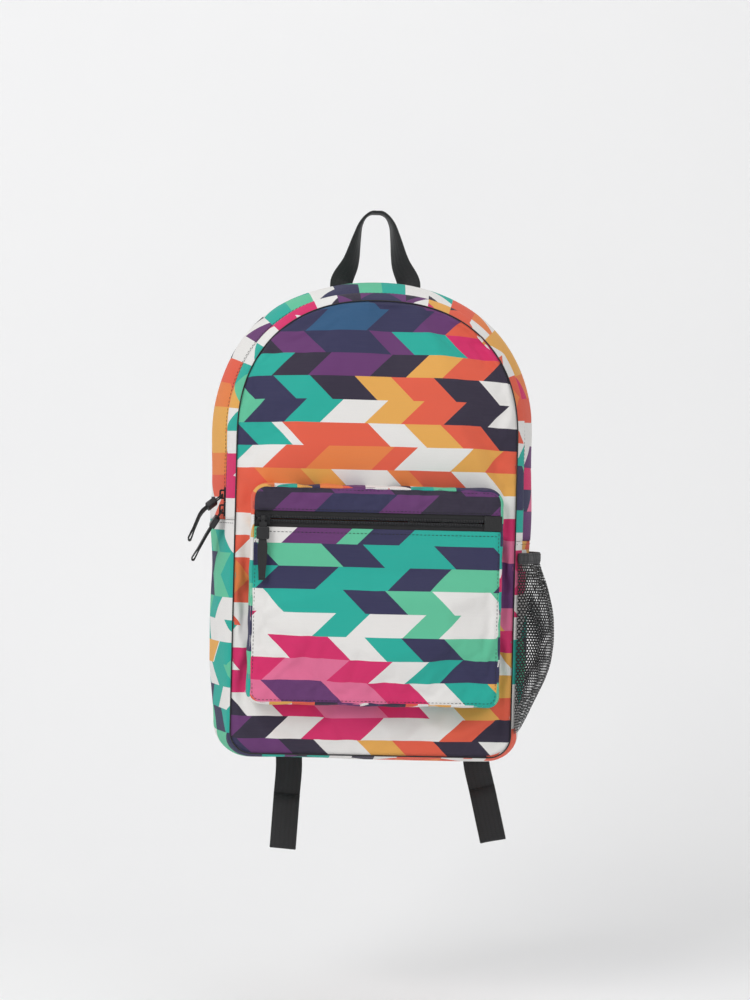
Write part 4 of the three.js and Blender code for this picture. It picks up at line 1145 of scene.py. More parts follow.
@dataclass(frozen=True)
class BagForm:
    """The sizes that the cloth pieces share, as the frame has them."""

    depth: float = 0.105
    half_width: float = 0.123
    arch_rise: float = 0.121
    arch_power: float = 2.3
    front_top: float = -0.086
    front_bottom: float = -0.483
    corner: float = 0.020
    wall: float = 0.0016
    seat: float = 0.0003
    flare: float = 0.0075
    back_outset: float = 0.017
    rear_bulge: float = 0.008
    lower_bulge: float = 0.008
    bottom_share: float = 0.4
    corner_share: float = 0.72
    taper_height: float = 0.062
    left_hem: float = -0.280
    right_hem: float = -0.293
    hem_blend: float = 0.048
    zip_y: float = -0.072
    hem_to_hem: float = 0.0136
    tape_sewn: float = 0.006
    back_thickness: float = 0.009
    arch_share: float = 0.62
    inside: float = -0.28

    @property
    def arch_start(self) -> float:
        """Height where the sides turn into the arch."""
        return self.front_top - self.arch_rise

    @property
    def corner_start(self) -> float:
        """Height where the sides turn into the bottom corners."""
        return self.front_bottom + self.corner

    @property
    def front_inner(self) -> float:
        """Inner face of the front panel."""
        return -self.depth + self.wall

    @property
    def hem_front(self) -> float:
        """Depth of the front strip's hem."""
        return self.zip_y - self.hem_to_hem / 2

    @property
    def hem_rear(self) -> float:
        """Depth of the rear strip's hem."""
        return self.zip_y + self.hem_to_hem / 2

    def side(self, side: int, z: float) -> Place:
        """A place on a straight side, which draws in above the bottom corner."""
        share = mix(self.corner_share, 1.0, smooth((z - self.corner_start) / self.taper_height))
        return Place(side * self.half_width, z, side, 0.0, share)

    def arch(self, angle: float) -> Place:
        """Gives a place on the arch.

        Args:
            angle: Where, in radians from the right.

        Returns:
            The place.
        """
        c, s = cos(angle), sin(angle)
        sign = copysign(1.0, c)
        x = self.half_width * sign * abs(c) ** (2 / self.arch_power)
        rise = self.arch_rise * abs(s) ** (2 / self.arch_power)
        nx = sign * (abs(x) / self.half_width) ** (self.arch_power - 1) / self.half_width
        nz = (rise / self.arch_rise) ** (self.arch_power - 1) / self.arch_rise
        length = hypot(nx, nz)
        return Place(x, self.arch_start + rise, nx / length, nz / length)

    def bottom_corner(self, side: int, degrees: float) -> Place:
        """Gives a place on a bottom corner.

        Args:
            side: -1 for the left corner and 1 for the right.
            degrees: From the side at 0 to the bottom at 90.

        Returns:
            The place.
        """
        angle = radians(degrees)
        nx, nz = side * cos(angle), -sin(angle)
        share = mix(self.corner_share, self.bottom_share, smooth(degrees / 90))
        return Place(
            side * (self.half_width - self.corner) + nx * self.corner,
            self.corner_start + nz * self.corner,
            nx, nz, share,
        )

    def zip_line(self, steps: int = 24, arch_steps: int = 120) -> list[Place]:
        """Follows the main zip.

        Args:
            steps: Steps on each side.
            arch_steps: Steps over the arch.

        Returns:
            Places from its left end over the arch to its right end.
        """
        start = self.arch_start
        left = [self.side(-1, mix(self.left_hem, start, i / steps)) for i in range(steps)]
        right = [self.side(1, mix(self.right_hem, start, i / steps)) for i in range(steps)]
        arch = [self.arch(pi * (1 - i / arch_steps)) for i in range(arch_steps + 1)]
        return [*left, *arch, *right[::-1]]

    def lower_line(self, steps: int = 60, corner_steps: int = 10) -> list[Place]:
        """Follows the lower gusset.

        Args:
            steps: Steps on each side and along the bottom.
            corner_steps: Steps round each corner.

        Returns:
            Places from the left hem down round the bottom and up to the right hem.
        """
        left_top, right_top = self.left_hem - self.seat, self.right_hem - self.seat
        drop = self.corner_start
        left = [self.side(-1, mix(left_top, drop, i / steps)) for i in range(steps)]
        right = [self.side(1, mix(right_top, drop, i / steps)) for i in range(steps)]
        turns = [90 / corner_steps * i for i in range(corner_steps + 1)]
        corners = [self.bottom_corner(-1, degrees) for degrees in turns]
        floor = [
            Place(
                mix(-1, 1, i / steps) * (self.half_width - self.corner),
                self.front_bottom, 0.0, -1.0, self.bottom_share,
            )
            for i in range(1, steps)
        ]
        mirrored = [self.bottom_corner(1, 90 - degrees) for degrees in turns]
        return [*left, *corners, *floor, *mirrored, *right[::-1]]

    def strip_outset(self, y: float) -> float:
        """Tells how far the zip strips stand outside the front seam.

        Args:
            y: The depth.

        Returns:
            The outset.
        """
        if y <= self.hem_front:
            reach = along(y, self.front_inner, self.hem_front - self.tape_sewn)
            return self.flare * smooth(reach)
        t = along(y, self.hem_rear, 0.0)
        return mix(self.flare, self.back_outset, t) + self.rear_bulge * 4 * t * (1 - t)

    def lower_outset(self, y: float) -> float:
        """How far the lower gusset stands outside the front seam."""
        t = along(y, self.front_inner, 0.0)
        return self.back_outset * t + self.lower_bulge * 4 * t * (1 - t)

    def body_outset(self, place: Place, y: float) -> float:
        """Tells how far the body stands outside the front seam.

        Args:
            place: A place on its outline.
            y: The depth.

        Returns:
            The outset.
        """
        hem = self.left_hem if place.x < 0 else self.right_hem
        t = smooth((hem - place.z) / self.hem_blend)
        return place.share * mix(self.strip_outset(y), self.lower_outset(y), t)

    def panel_place(self, u: float, v: float, out: float = 0.0) -> Pair:
        """Maps a unit square onto the arched panel.

        Args:
            u: Share across, 0 to 1.
            v: Share up, 0 to 1.
            out: Outset of the outline, which the bottom takes in part.

        Returns:
            X and Z on the panel.
        """
        across = 2 * u - 1
        if v >= self.arch_share:
            up = (v - self.arch_share) / (1 - self.arch_share)
            x = across * sqrt(1 - up * up / 2)
            y = up * sqrt(1 - across * across / 2)
            angle = atan2(y, x)
            power = self.arch_power
            stretch = (abs(cos(angle)) ** power + abs(sin(angle)) ** power)
            stretch **= -1 / power
            height = self.arch_start + y * stretch * (self.arch_rise + out)
            return x * stretch * (self.half_width + out), height
        bottom = self.front_bottom - out * self.bottom_share
        z = mix(bottom, self.arch_start, v / self.arch_share)
        return across * self.half_at(z, out), z

    def edge_distance(self, x: float, z: float, out: float = 0.0) -> float:
        """Tells how far a panel's edge is, near enough for the cloth's shape.

        Args:
            x: Place across.
            z: Height.
            out: Outset of the panel's outline.

        Returns:
            The distance, 0 at the edge.
        """
        power = self.arch_power
        if z > self.arch_start:
            dx = abs(x) / (self.half_width + out)
            dz = (z - self.arch_start) / (self.arch_rise + out)
            level = (dx**power + dz**power) ** (1 / power)
            return max(0.0, (1 - level) * self.half_width)
        floor = z - self.front_bottom + out * self.bottom_share
        side = self.half_at(max(z, self.corner_start), out) - abs(x)
        radius = self.corner + out * self.bottom_share
        if side < radius and floor < radius:
            return max(0.0, radius - hypot(radius - side, radius - floor))
        return max(0.0, min(side, floor))

    def half_at(self, z: float, out: float) -> float:
        """Measures half the width of the outline below the arch.

        Args:
            z: Height.
            out: Outset of the outline.

        Returns:
            Half the width.
        """
        if z >= self.corner_start:
            return self.half_width + out * self.side(1, z).share
        low, high = 0.0, 90.0
        for _ in range(12):
            middle = (low + high) / 2
            place = self.bottom_corner(1, middle)
            below = place.z + place.nz * out * place.share < z
            low, high = (low, middle) if below else (middle, high)
        place = self.bottom_corner(1, low)
        return place.x + place.nx * out * place.share


FORM = BagForm()
STRAP_BAND_INSET = 0.003


@dataclass
class SubAssembly:
    """A group of pieces on the bag."""

    form: BagForm = FORM
    body: str = "bag"

    def stitches(self, name: str, route: Route, pitch: float = 0.0034,
                 length: float = 0.0026, radius: float = 0.00028) -> None:
        """Sews a row of stitches.

        Args:
            name: The piece's name.
            route: Points on the cloth, each with its outward direction.
            pitch: Distance from stitch to stitch.
            length: Length of one stitch.
            radius: Radius of the thread.
        """
        maker = MeshMaker(name)
        for start, end in pairs(even_steps([p for p, _ in route], pitch)):
            middle = (start + end) / 2
            run = (end - start).normalized()
            side = run.cross(nearest_out(route, middle)).normalized()
            axes = (run, side, run.cross(side) * -1)
            bmesh.ops.create_icosphere(
                maker.bm, subdivisions=1, radius=1.0,
                matrix=set_at(middle, axes, (length / 2, radius, radius * 0.8)),
            )
        maker.finish(BLACK_THREAD, self.body, "webbing")


@dataclass
class BodyCloth(SubAssembly):
    """The printed panels of the main compartment."""

    seam_depth: float = 0.0034
    seam_reach: float = 0.006
    crown: float = 0.0078
    crown_from: float = -0.262
    low_crown: float = 0.003
    low_crown_from: float = -0.43
    pucker: float = 0.0014
    pucker_grain: float = 95.0
    fold: float = 0.0032
    strip_fold: float = 0.0016
    cord_radius: float = 0.0006
    cord_inset: float = 0.0009
    cord_behind: float = 0.0014

    def seam_dip(self, distance: float) -> float:
        """Tells how far the cloth turns in beside a seam."""
        return self.seam_depth * (1 - smooth(distance / self.seam_reach)) ** 1.5

    def front_panel(self) -> None:
        """Makes the front panel, crowned above the pocket and drawn in at its seam."""
        form = self.form

        def place(u: float, v: float) -> Vector:
            """Puts a point on the panel.

            Args:
                u: Share across.
                v: Share up.

            Returns:
                The point.
            """
            x, z = form.panel_place(u, v)
            edge = form.edge_distance(x, z)
            crown = self.crown * smooth(edge / 0.06) * smooth((z - self.crown_from) / 0.05)
            low = smooth(edge / 0.03) * smooth((self.low_crown_from - z) / 0.02)
            grain = ripple(x * self.pucker_grain, z * self.pucker_grain)
            pucker = self.pucker * (1 - smooth(edge / 0.035)) * grain
            folds = self.fold * smooth(edge / 0.02) * ripple(x * 15 + 3, z * 9)
            out = crown + self.low_crown * low + pucker + folds - self.seam_dip(edge)
            return Vector((x, -form.depth - out, z))

        maker = MeshMaker("front_panel_cloth").sheet(64, 96, place, form.panel_place)
        maker.turned_out(Vector((0, 0, form.inside)))
        piece = maker.finish(
            PrintedCloth("front print", seed=2.0, shift=(0.03, 0.02)),
            self.body, "printed_cloth", thickness=CLOTH_WALL, smoothing=1, settling=Settling(),
        )
        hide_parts("front_panel")

    def strip(
        self, name: str, node: str, line: Sequence[Place], depths: Pair, rows: int,
        finish: PrintedCloth, seams: tuple[bool, bool], outset: Callable[[Place, float], float],
    ) -> None:
        """Makes a printed strip between two depths.

        Args:
            name: The piece's name.
            node: The frame node that it stands for.
            line: The outline that it follows.
            depths: Its near and far depth.
            rows: Faces across its depth.
            finish: Its print.
            seams: Whether the near and the far edge is a seam, and not a hem.
            outset: How far out it lies.
        """
        near, far = depths
        run = outline_lengths(line)
        steps = len(line) - 1

        def place(u: float, v: float) -> Vector:
            """Puts a point on the strip.

            Args:
                u: Share from the near edge to the far one.
                v: Share of the line.

            Returns:
                The point.
            """
            spot, s = line[round(v * steps)], run[round(v * steps)]
            y = mix(near, far, u)
            out = outset(spot, y)
            if seams[0]:
                out -= self.seam_dip(y - near) * 0.8
                out += 0.0007 * (1 - smooth((y - near) / 0.02)) * ripple(s * 120, y * 60)
            if seams[1]:
                out -= self.seam_dip(far - y) * 0.8
                out += 0.0009 * (1 - smooth((far - y) / 0.025)) * ripple(s * 90, y * 60, 5)
            inner = smooth(min(y - near, far - y) / 0.012)
            out += self.strip_fold * inner * ripple(s * 16, y * 34, 9)
            return spot.offset(out, y)

        def cloth(u: float, v: float) -> Pair:
            """Gives the cloth's coordinates there."""
            return mix(near, far, u), run[round(v * steps)]

        maker = MeshMaker(name).sheet(rows, steps, place, cloth)
        maker.turned_out(Vector((0, (near + far) / 2, self.form.inside)))
        piece = maker.finish(finish, self.body, "printed_cloth", thickness=CLOTH_WALL)
        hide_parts(node)

    def seam_cord(self) -> None:
        """Makes the black thread that closes the front seam, deep between the cloths."""
        form = self.form
        line = form.zip_line() + list(reversed(form.lower_line()))[1:-1]
        depth = -form.depth + self.cord_behind
        rings = [
            ring(spot.offset(-self.cord_inset, depth), spot.outward, REAR, self.cord_radius, 6)
            for spot in line
        ]
        maker = MeshMaker("front_seam_cord").tube([*rings, rings[0]], 0.007, capped=False)
        maker.merged().turned_out().finish(BLACK_THREAD, self.body, "webbing")

    def build(self) -> None:
        """Makes all the body's printed pieces and their stitching."""
        form = self.form
        self.front_panel()
        self.seam_cord()

        def on_strip(place: Place, y: float) -> float:
            """Gives the zip strips' outset, the same at every place."""
            return form.strip_outset(y)

        line = form.zip_line()
        self.strip("front_strip_cloth", "front_zip_strip", line,
                   (form.front_inner + form.seat, form.hem_front), 14,
                   PrintedCloth("front strip print", seed=5.0, shift=(0.01, 0.04)),
                   (True, False), on_strip)
        self.strip("rear_strip_cloth", "rear_zip_strip", line,
                   (form.hem_rear, -form.seat), 30,
                   PrintedCloth("rear strip print", seed=9.0, shift=(0.05, 0.0)),
                   (False, True), on_strip)
        self.strip("lower_gusset_cloth", "lower_gusset", form.lower_line(),
                   (form.front_inner + form.seat, -form.seat), 44,
                   PrintedCloth("gusset print", seed=13.0, shift=(0.02, 0.03)),
                   (True, True), form.body_outset)
        for name, y in (("front_hem_stitches", form.hem_front - 0.0022),
                        ("rear_hem_stitches", form.hem_rear + 0.0022)):
            out = form.strip_outset(y) + THREAD_LIFT
            route = [(p.offset(out, y), p.outward) for p in line]
            self.stitches(name, route)
        for side, name in ((-1, "left_hem_stitches"), (1, "right_hem_stitches")):
            hem = form.left_hem if side < 0 else form.right_hem
            place = form.side(side, hem - 0.003)
            depths = [mix(form.front_inner + 0.003, -0.003, i / 40) for i in range(41)]
            route = [(place.offset(form.body_outset(place, y) + THREAD_LIFT, y), place.outward)
                     for y in depths]
            self.stitches(name, route)


@dataclass
class BackPanel(SubAssembly):
    """The padded back, sewn in channels."""

    padding: float = 0.0088
    swell: float = 0.0045
    least: float = 0.0006
    channel_x: float = 0.052
    channel_depth: float = 0.0042
    channels_from: float = -0.13
    cross_channels: tuple[float, ...] = (-0.235, -0.32, -0.405)
    cross_depth: float = 0.003

    def rear_face(self, x: float, z: float, edge: float) -> float:
        """Tells how high the padding stands over the back seam's plane.

        Args:
            x: Place across.
            z: Height.
            edge: Distance to the panel's edge.

        Returns:
            The padding's height.
        """
        swell = self.swell * smooth(edge / 0.035) * smooth((-0.15 - z) / 0.05)
        crown = self.padding * smooth(edge / 0.009) ** 0.5 + swell
        below = smooth((self.channels_from - z) / 0.02)
        for line in (-self.channel_x, self.channel_x):
            crown -= self.channel_depth * exp(-(((x - line) / 0.0042) ** 2)) * below
        middle = smooth((self.channel_x - abs(x)) / 0.004)
        for line in self.cross_channels:
            crown -= self.cross_depth * exp(-(((z - line) / 0.004) ** 2)) * middle
        return max(self.least, crown)

    def build(self) -> None:
        """Makes the back panel."""
        form = self.form
        out = form.back_outset

        def place(u: float, v: float) -> Vector:
            """Puts a point on the padding."""
            x, z = form.panel_place(u, v, out)
            return Vector((x, self.rear_face(x, z, form.edge_distance(x, z, out)), z))

        maker = MeshMaker("back_padding").sheet(
            120, 180, place, lambda u, v: form.panel_place(u, v, out)
        )
        rim = [e for e in maker.bm.edges if e.is_boundary]
        pulled = bmesh.ops.extrude_edge_only(maker.bm, edges=rim)["geom"]
        for vert in (g for g in pulled if isinstance(g, bmesh.types.BMVert)):
            vert.co.y = 0.0002
        piece = maker.closed().turned_out().finish(PADDED_KNIT, self.body, "padding")
        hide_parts("back_panel")
        self.sleeve()

    def sleeve(self) -> None:
        """Makes the laptop sleeve and its binding, inside the bag."""
        low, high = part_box("laptop_sleeve")
        form = self.form
        middle = (low.y + high.y) / 2

        def place(u: float, v: float) -> Vector:
            """Puts a point on the sleeve.

            Args:
                u: Share across.
                v: Share up.

            Returns:
                The point.
            """
            z = mix(low.z + 0.004, high.z, v)
            spot = form.side(1, max(z, form.corner_start))
            half = form.half_at(z, form.body_outset(spot, middle) / spot.share)
            x = (2 * u - 1) * (half - form.wall - 0.002)
            quilt = 0.0012 * abs(sin(pi * x / 0.03))
            return Vector((x, high.y - 0.0012 + quilt, z))

        maker = MeshMaker("sleeve_padding").sheet(
            60, 60, place, lambda u, v: (u * 0.28, v * 0.28)
        ).turned_out(Vector((0, -0.5, -0.35)))
        piece = maker.finish(PADDED_CLOTH, self.body, "padding", thickness=0.0028)
        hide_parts("laptop_sleeve")
        softened("laptop_sleeve_binding", "sleeve_binding", PULL_TAPE, self.body, "elastic",
                 0.0003)


@dataclass
class FrontPocket(SubAssembly):
    """The zipped front pocket."""

    half_width: float = 0.1075
    top: float = -0.249
    bottom: float = -0.436
    depth: float = 0.030
    top_corner: float = 0.012
    bottom_corner: float = 0.009
    zip_z: float = -0.278
    pull_reach: float = 0.042
    crown: float = 0.0062
    groove: float = 0.0007
    groove_inset: float = 0.0032
    rolled: float = 0.0016
    pucker: float = 0.0013
    pucker_grain: float = 110.0
    fold: float = 0.0034
    pressed: float = 0.12

    @property
    def face(self) -> float:
        """Depth of the pocket's face."""
        return -self.form.depth - self.depth

    @property
    def low_hem(self) -> float:
        """Height of the hem below the zip."""
        return self.zip_z - self.form.hem_to_hem / 2

    @property
    def high_hem(self) -> float:
        """Height of the hem above the zip."""
        return self.zip_z + self.form.hem_to_hem / 2

    def half_at(self, z: float) -> float:
        """Measures half the pocket's width.

        Args:
            z: Height.

        Returns:
            Half the width there.
        """
        for edge, radius in (
            (self.top - z, self.top_corner), (z - self.bottom, self.bottom_corner),
        ):
            if edge < radius:
                drop = 1 - max(0.0, edge) / radius
                return self.half_width - radius * (1 - sqrt(max(0.0, 1 - drop * drop)))
        return self.half_width

    def outline(self, turn_steps: int = 8, side_steps: int = 40) -> list[Place]:
        """Follows the pocket's outline.

        Args:
            turn_steps: Steps round each corner.
            side_steps: Steps along each side.

        Returns:
            Places round it, anticlockwise from the right.
        """
        corners = [
            (x * (self.half_width - radius), z, radius, start)
            for x, z, radius, start in (
                (1, self.top - self.top_corner, self.top_corner, 0),
                (-1, self.top - self.top_corner, self.top_corner, 90),
                (-1, self.bottom + self.bottom_corner, self.bottom_corner, 180),
                (1, self.bottom + self.bottom_corner, self.bottom_corner, 270),
            )
        ]

        def on_corner(index: int, share: float) -> Place:
            """Gives a place on a corner, by the share of its turn.

            Args:
                index: Which corner.
                share: Share of its turn.

            Returns:
                The place.
            """
            x, z, radius, start = corners[index % len(corners)]
            angle = radians(start + 90 * share)
            nx, nz = cos(angle), sin(angle)
            return Place(x + radius * nx, z + radius * nz, nx, nz)

        line = []
        for i in range(len(corners)):
            line += [on_corner(i, step / turn_steps) for step in range(turn_steps + 1)]
            start, end = line[-1], on_corner(i + 1, 0.0)
            for step in range(1, side_steps):
                share = step / side_steps
                x, z = mix(start.x, end.x, share), mix(start.z, end.z, share)
                line.append(Place(x, z, start.nx, start.nz))
        return line

    def relief(self, x: float, z: float, hem: float) -> float:
        """Tells how far the face stands off its plane.

        Args:
            x: Place across.
            z: Height.
            hem: Height of the hem beside the zip.

        Returns:
            The relief, outwards.
        """
        side = self.half_at(z) - abs(x)
        floor = min(z - self.bottom, self.top - z)
        edge = min(side, floor)
        from_hem = abs(z - hem)
        free = self.free_of_pull(z)
        crown = self.crown * smooth(edge / 0.05) * smooth((from_hem - 0.006) / 0.04) * free
        groove = self.groove * exp(-(((edge - self.groove_inset) / 0.0011) ** 2))
        rolled = self.rolled * (1 - smooth(edge / 0.002))
        grain = ripple(x * self.pucker_grain, z * self.pucker_grain, 2)
        pucker = self.pucker * (1 - smooth(edge / 0.03)) * grain
        folds = self.fold * smooth(from_hem / 0.02) * smooth(edge / 0.015)
        return crown - groove - rolled + (pucker + folds * ripple(x * 15, z * 24, 4)) * free

    def free_of_pull(self, z: float) -> float:
        """Tells what share of its relief the cloth keeps where the pull presses it.

        Args:
            z: Height.

        Returns:
            The share, 1 where the pull doesn't reach.
        """
        if z > self.zip_z:
            return 1.0
        return mix(self.pressed, 1.0, smooth((self.zip_z - self.pull_reach - z) / 0.03))

    def panel(self, name: str, node: str, low: float, high: float, hem: float,
              finish: PrintedCloth) -> None:
        """Makes one printed panel of the pocket's face.

        Args:
            name: The piece's name.
            node: The frame node that it stands for.
            low: Its lower edge.
            high: Its upper edge.
            hem: The edge beside the zip.
            finish: Its print.
        """

        def spot(u: float, v: float) -> Pair:
            """Gives a point's place across and height."""
            z = mix(low, high, v)
            return (2 * u - 1) * self.half_at(z), z

        def place(u: float, v: float) -> Vector:
            """Puts a point on the panel.

            Args:
                u: Share across.
                v: Share up.

            Returns:
                The point.
            """
            x, z = spot(u, v)
            return Vector((x, self.face - self.relief(x, z, hem), z))

        rows = max(8, round((high - low) / 0.003))
        maker = MeshMaker(name).sheet(72, rows, place, spot)
        maker.turned_out(Vector((0, 0, (low + high) / 2)))
        settling = Settling(reach=0.008, free=lambda spot: self.free_of_pull(spot.z))
        piece = maker.finish(finish, self.body, "printed_cloth", thickness=CLOTH_WALL,
                             smoothing=1, settling=settling)
        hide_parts(node)

    def gusset(self) -> None:
        """Makes the strip that runs round the pocket."""
        form, line = self.form, self.outline()
        near, far = self.face + form.wall + form.seat, -form.depth - form.seat
        run = outline_lengths([*line, line[0]])
        count = len(line)

        def place(u: float, v: float) -> Vector:
            """Puts a point on the strip.

            Args:
                u: Share from the near edge to the far one.
                v: Share of the line.

            Returns:
                The point.
            """
            spot = line[round(v * count) % count]
            s = run[round(v * count) % count]
            y = mix(near - 0.0012, far, u)
            inner = sin(pi * u)
            belly = 0.0014 * inner + 0.0012 * inner * ripple(s * 60, u * 2, 7)
            pinch = 0.0009 * (1 - smooth(u / 0.12)) + 0.0012 * smooth((u - 0.85) / 0.15)
            return spot.offset(belly - pinch, y)

        maker = MeshMaker("pocket_gusset_cloth").sheet(
            14, count, place, lambda u, v: (u * 0.03, run[round(v * count)])
        )
        maker.merged().turned_out(Vector((0, (near + far) / 2, -0.34)))
        piece = maker.finish(
            PrintedCloth("pocket gusset print", seed=21.0, shift=(0.0, 0.05)),
            self.body, "printed_cloth", thickness=CLOTH_WALL,
        )
        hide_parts("pocket_gusset")

    def sewing(self) -> None:
        """Sews the pocket's edges and both sides of its zip."""
        low_hem, high_hem = self.low_hem, self.high_hem

        def on_face(x: float, z: float, hem: float) -> tuple[Vector, Vector]:
            """Gives a stitch's place on the face, and which way is out."""
            return Vector((x, self.face - self.relief(x, z, hem) - THREAD_LIFT, z)), FRONT

        edge = [
            (p.x - p.nx * self.groove_inset, p.z - p.nz * self.groove_inset)
            for p in self.outline()
        ]
        above = [on_face(x, z, high_hem) for x, z in edge if z > high_hem + 0.001]
        below = [on_face(x, z, low_hem) for x, z in edge if z < low_hem - 0.001]
        first = next(i for i, (p, _) in enumerate(below) if p.x < 0)
        turned = below[first:] + below[:first] if below[0][0].x > 0 > below[-1][0].x else below
        self.stitches("pocket_top_stitches", above)
        self.stitches("pocket_edge_stitches", turned)
        span = self.half_width - 0.004
        for name, z, hem in (
            ("pocket_upper_hem_stitches", high_hem + 0.0018, high_hem),
            ("pocket_lower_hem_stitches", low_hem - 0.0042, low_hem),
        ):
            route = [on_face(mix(-span, span, i / 60), z, hem) for i in range(61)]
            self.stitches(name, route)

    def build(self) -> None:
        """Makes the pocket's cloth, zip and sewing."""
        self.panel("pocket_front_cloth", "pocket_front_panel",
                   self.bottom, self.low_hem, self.low_hem,
                   PrintedCloth("pocket print", seed=31.0, shift=(0.065, 0.045)))
        self.panel("pocket_top_cloth", "pocket_top_panel",
                   self.high_hem, self.top, self.high_hem,
                   PrintedCloth("pocket top print", seed=37.0, shift=(0.02, 0.06)))
        self.gusset()
        self.sewing()


@dataclass
class ZipChain(SubAssembly):
    """The teeth of a zip, finer than the frame's."""

    pitch: float = 0.0016
    half_width: float = 0.0030
    gap: float = 0.00035
    foot: float = -0.0016
    height: float = 0.0019
    filled: float = 0.62
    rounding: float = 0.00032

    def teeth(self, name: str, node: str, route: Route, side: int, sideways: Vector) -> None:
        """Sets one row of teeth.

        Args:
            name: The piece's name.
            node: The frame node that it stands for.
            route: The chain's middle line on the cloth, each point with its outward direction.
            side: Which half of the chain.
            sideways: The direction across the chain.
        """
        maker = MeshMaker(name)
        shift = 0.5 if side > 0 else 0.0
        length = self.half_width - self.gap
        size = (length, self.pitch * self.filled, self.height)
        across = sideways * side
        for start, end in pairs(even_steps([p for p, _ in route], self.pitch)):
            spot = start.lerp(end, shift)
            out = nearest_out(route, spot)
            run = (end - start).normalized()
            middle = spot + across * (self.gap + length / 2)
            middle += out * (self.foot + self.height / 2)
            made = bmesh.ops.create_cube(
                maker.bm, size=1.0, matrix=set_at(middle, (across, run, out), size)
            )
            crosswise = {
                e for v in made["verts"] for e in v.link_edges
                if abs((e.verts[1].co - e.verts[0].co).normalized().dot(across)) > 0.9
            }
            bmesh.ops.bevel(
                maker.bm, geom=list(crosswise), offset=self.rounding, affect="EDGES",
                segments=2, profile=0.5, material=-1,
            )
        piece = maker.turned_out().finish(COIL_PLASTIC, self.body, "zip_coil")
        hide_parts(node)


@dataclass
class Zips(SubAssembly):
    """Both zips: tapes, chains, sliders and pulls."""

    pocket_start: float = -0.1035
    pocket_end: float = 0.0905
    pocket_steps: int = 50

    def rows(self, zip_name: str, chain: ZipChain, route: Route, sideways: Vector,
             halves: tuple[tuple[str, int], ...]) -> None:
        """Makes a zip's two rows of teeth and its two tapes.

        Args:
            zip_name: The zip's name.
            chain: Its chain.
            route: The chain's middle line, each point with its outward direction.
            sideways: The direction across the chain.
            halves: Each half's name and side.
        """
        for half, side in halves:
            chain.teeth(f"{zip_name}_{half}_teeth", f"{zip_name}_zip_{half}_coil",
                        route, side, sideways)
        for half, _ in halves:
            softened(f"{zip_name}_zip_{half}_tape", f"{zip_name}_{half}_tape_cloth",
                     ZIP_TAPE, self.body, "zip_tape", 0.0002)

    def main_zip(self) -> None:
        """Makes the main zip, over the arch."""
        form = self.form
        line = form.zip_line()[1:-1]
        route = [(p.offset(form.flare, form.zip_y), p.outward) for p in line]
        self.rows("main", ZipChain(), route, REAR, (("front", -1), ("rear", 1)))

    def pocket_zip(self, pocket: FrontPocket) -> None:
        """Makes the pocket's zip, straight across.

        Args:
            pocket: The pocket that it closes.
        """
        steps = self.pocket_steps
        places = [mix(self.pocket_start, self.pocket_end, i / steps) for i in range(steps + 1)]
        route = [(Vector((x, pocket.face, pocket.zip_z)), FRONT) for x in places]
        self.rows("pocket", ZipChain(pitch=0.0014), route, UP, (("upper", 1), ("lower", -1)))
        softened("pocket_zip_end_patch", "pocket_end_patch_cloth", PULL_TAPE, self.body,
                 "zip_tape", 0.0005)

    def sliders(self) -> None:
        """Makes the sliders and their pulls, each on its own body."""
        for slider, pull in (
            ("main_slider_upper", "main_pull_upper"),
            ("main_slider_lower", "main_pull_lower"),
            ("pocket_slider", "pocket_pull"),
        ):
            softened(slider, f"{slider}_metal", BLACK_METAL, slider, "slider", 0.00022)
            softened(f"{pull}_tape", f"{pull}_woven", PULL_TAPE, pull, "webbing", 0.00025)
            softened(f"{pull}_block", f"{pull}_moulding", PLASTIC, pull, "moulding", 0.0004, 3)

    def build(self) -> None:
        """Makes both zips."""
        self.main_zip()
        self.pocket_zip(FrontPocket())
        self.sliders()


# Straps


def direction(line: Sequence[Vector], i: int) -> Vector:
    """Tells which way a line runs at a step."""
    return (line[min(i + 1, len(line) - 1)] - line[max(i - 1, 0)]).normalized()


def ribbon_sections(
    route: Sequence[Vector], width: float, thickness: float,
    across_at: Callable[[int, Vector], Vector],
) -> list[list[Vector]]:
    """Gives a flat band's sections along a route.

    Args:
        route: The band's middle line.
        width: The band's width.
        thickness: The band's thickness.
        across_at: Gives the width's direction at a step, for the route's direction there.

    Returns:
        Eight corners for each step, with rounded edges.
    """
    sections = []
    round_in = thickness * 0.45
    outline = (
        (0.5, 0.12), (0.5, -0.12), (0.5, -0.5), (-0.5, -0.5),
        (-0.5, -0.12), (-0.5, 0.12), (-0.5, 0.5), (0.5, 0.5),
    )
    for i, spot in enumerate(route):
        run = direction(route, i)
        across = across_at(i, run)
        across = (across - run * across.dot(run)).normalized()
        out = run.cross(across)
        corners = []
        for a, b in outline:
            reach = width / 2 - (round_in if abs(b) == 0.5 else 0.0)
            corners.append(spot + across * copysign(reach, a) + out * (b * thickness))
        sections.append(corners)
    return sections


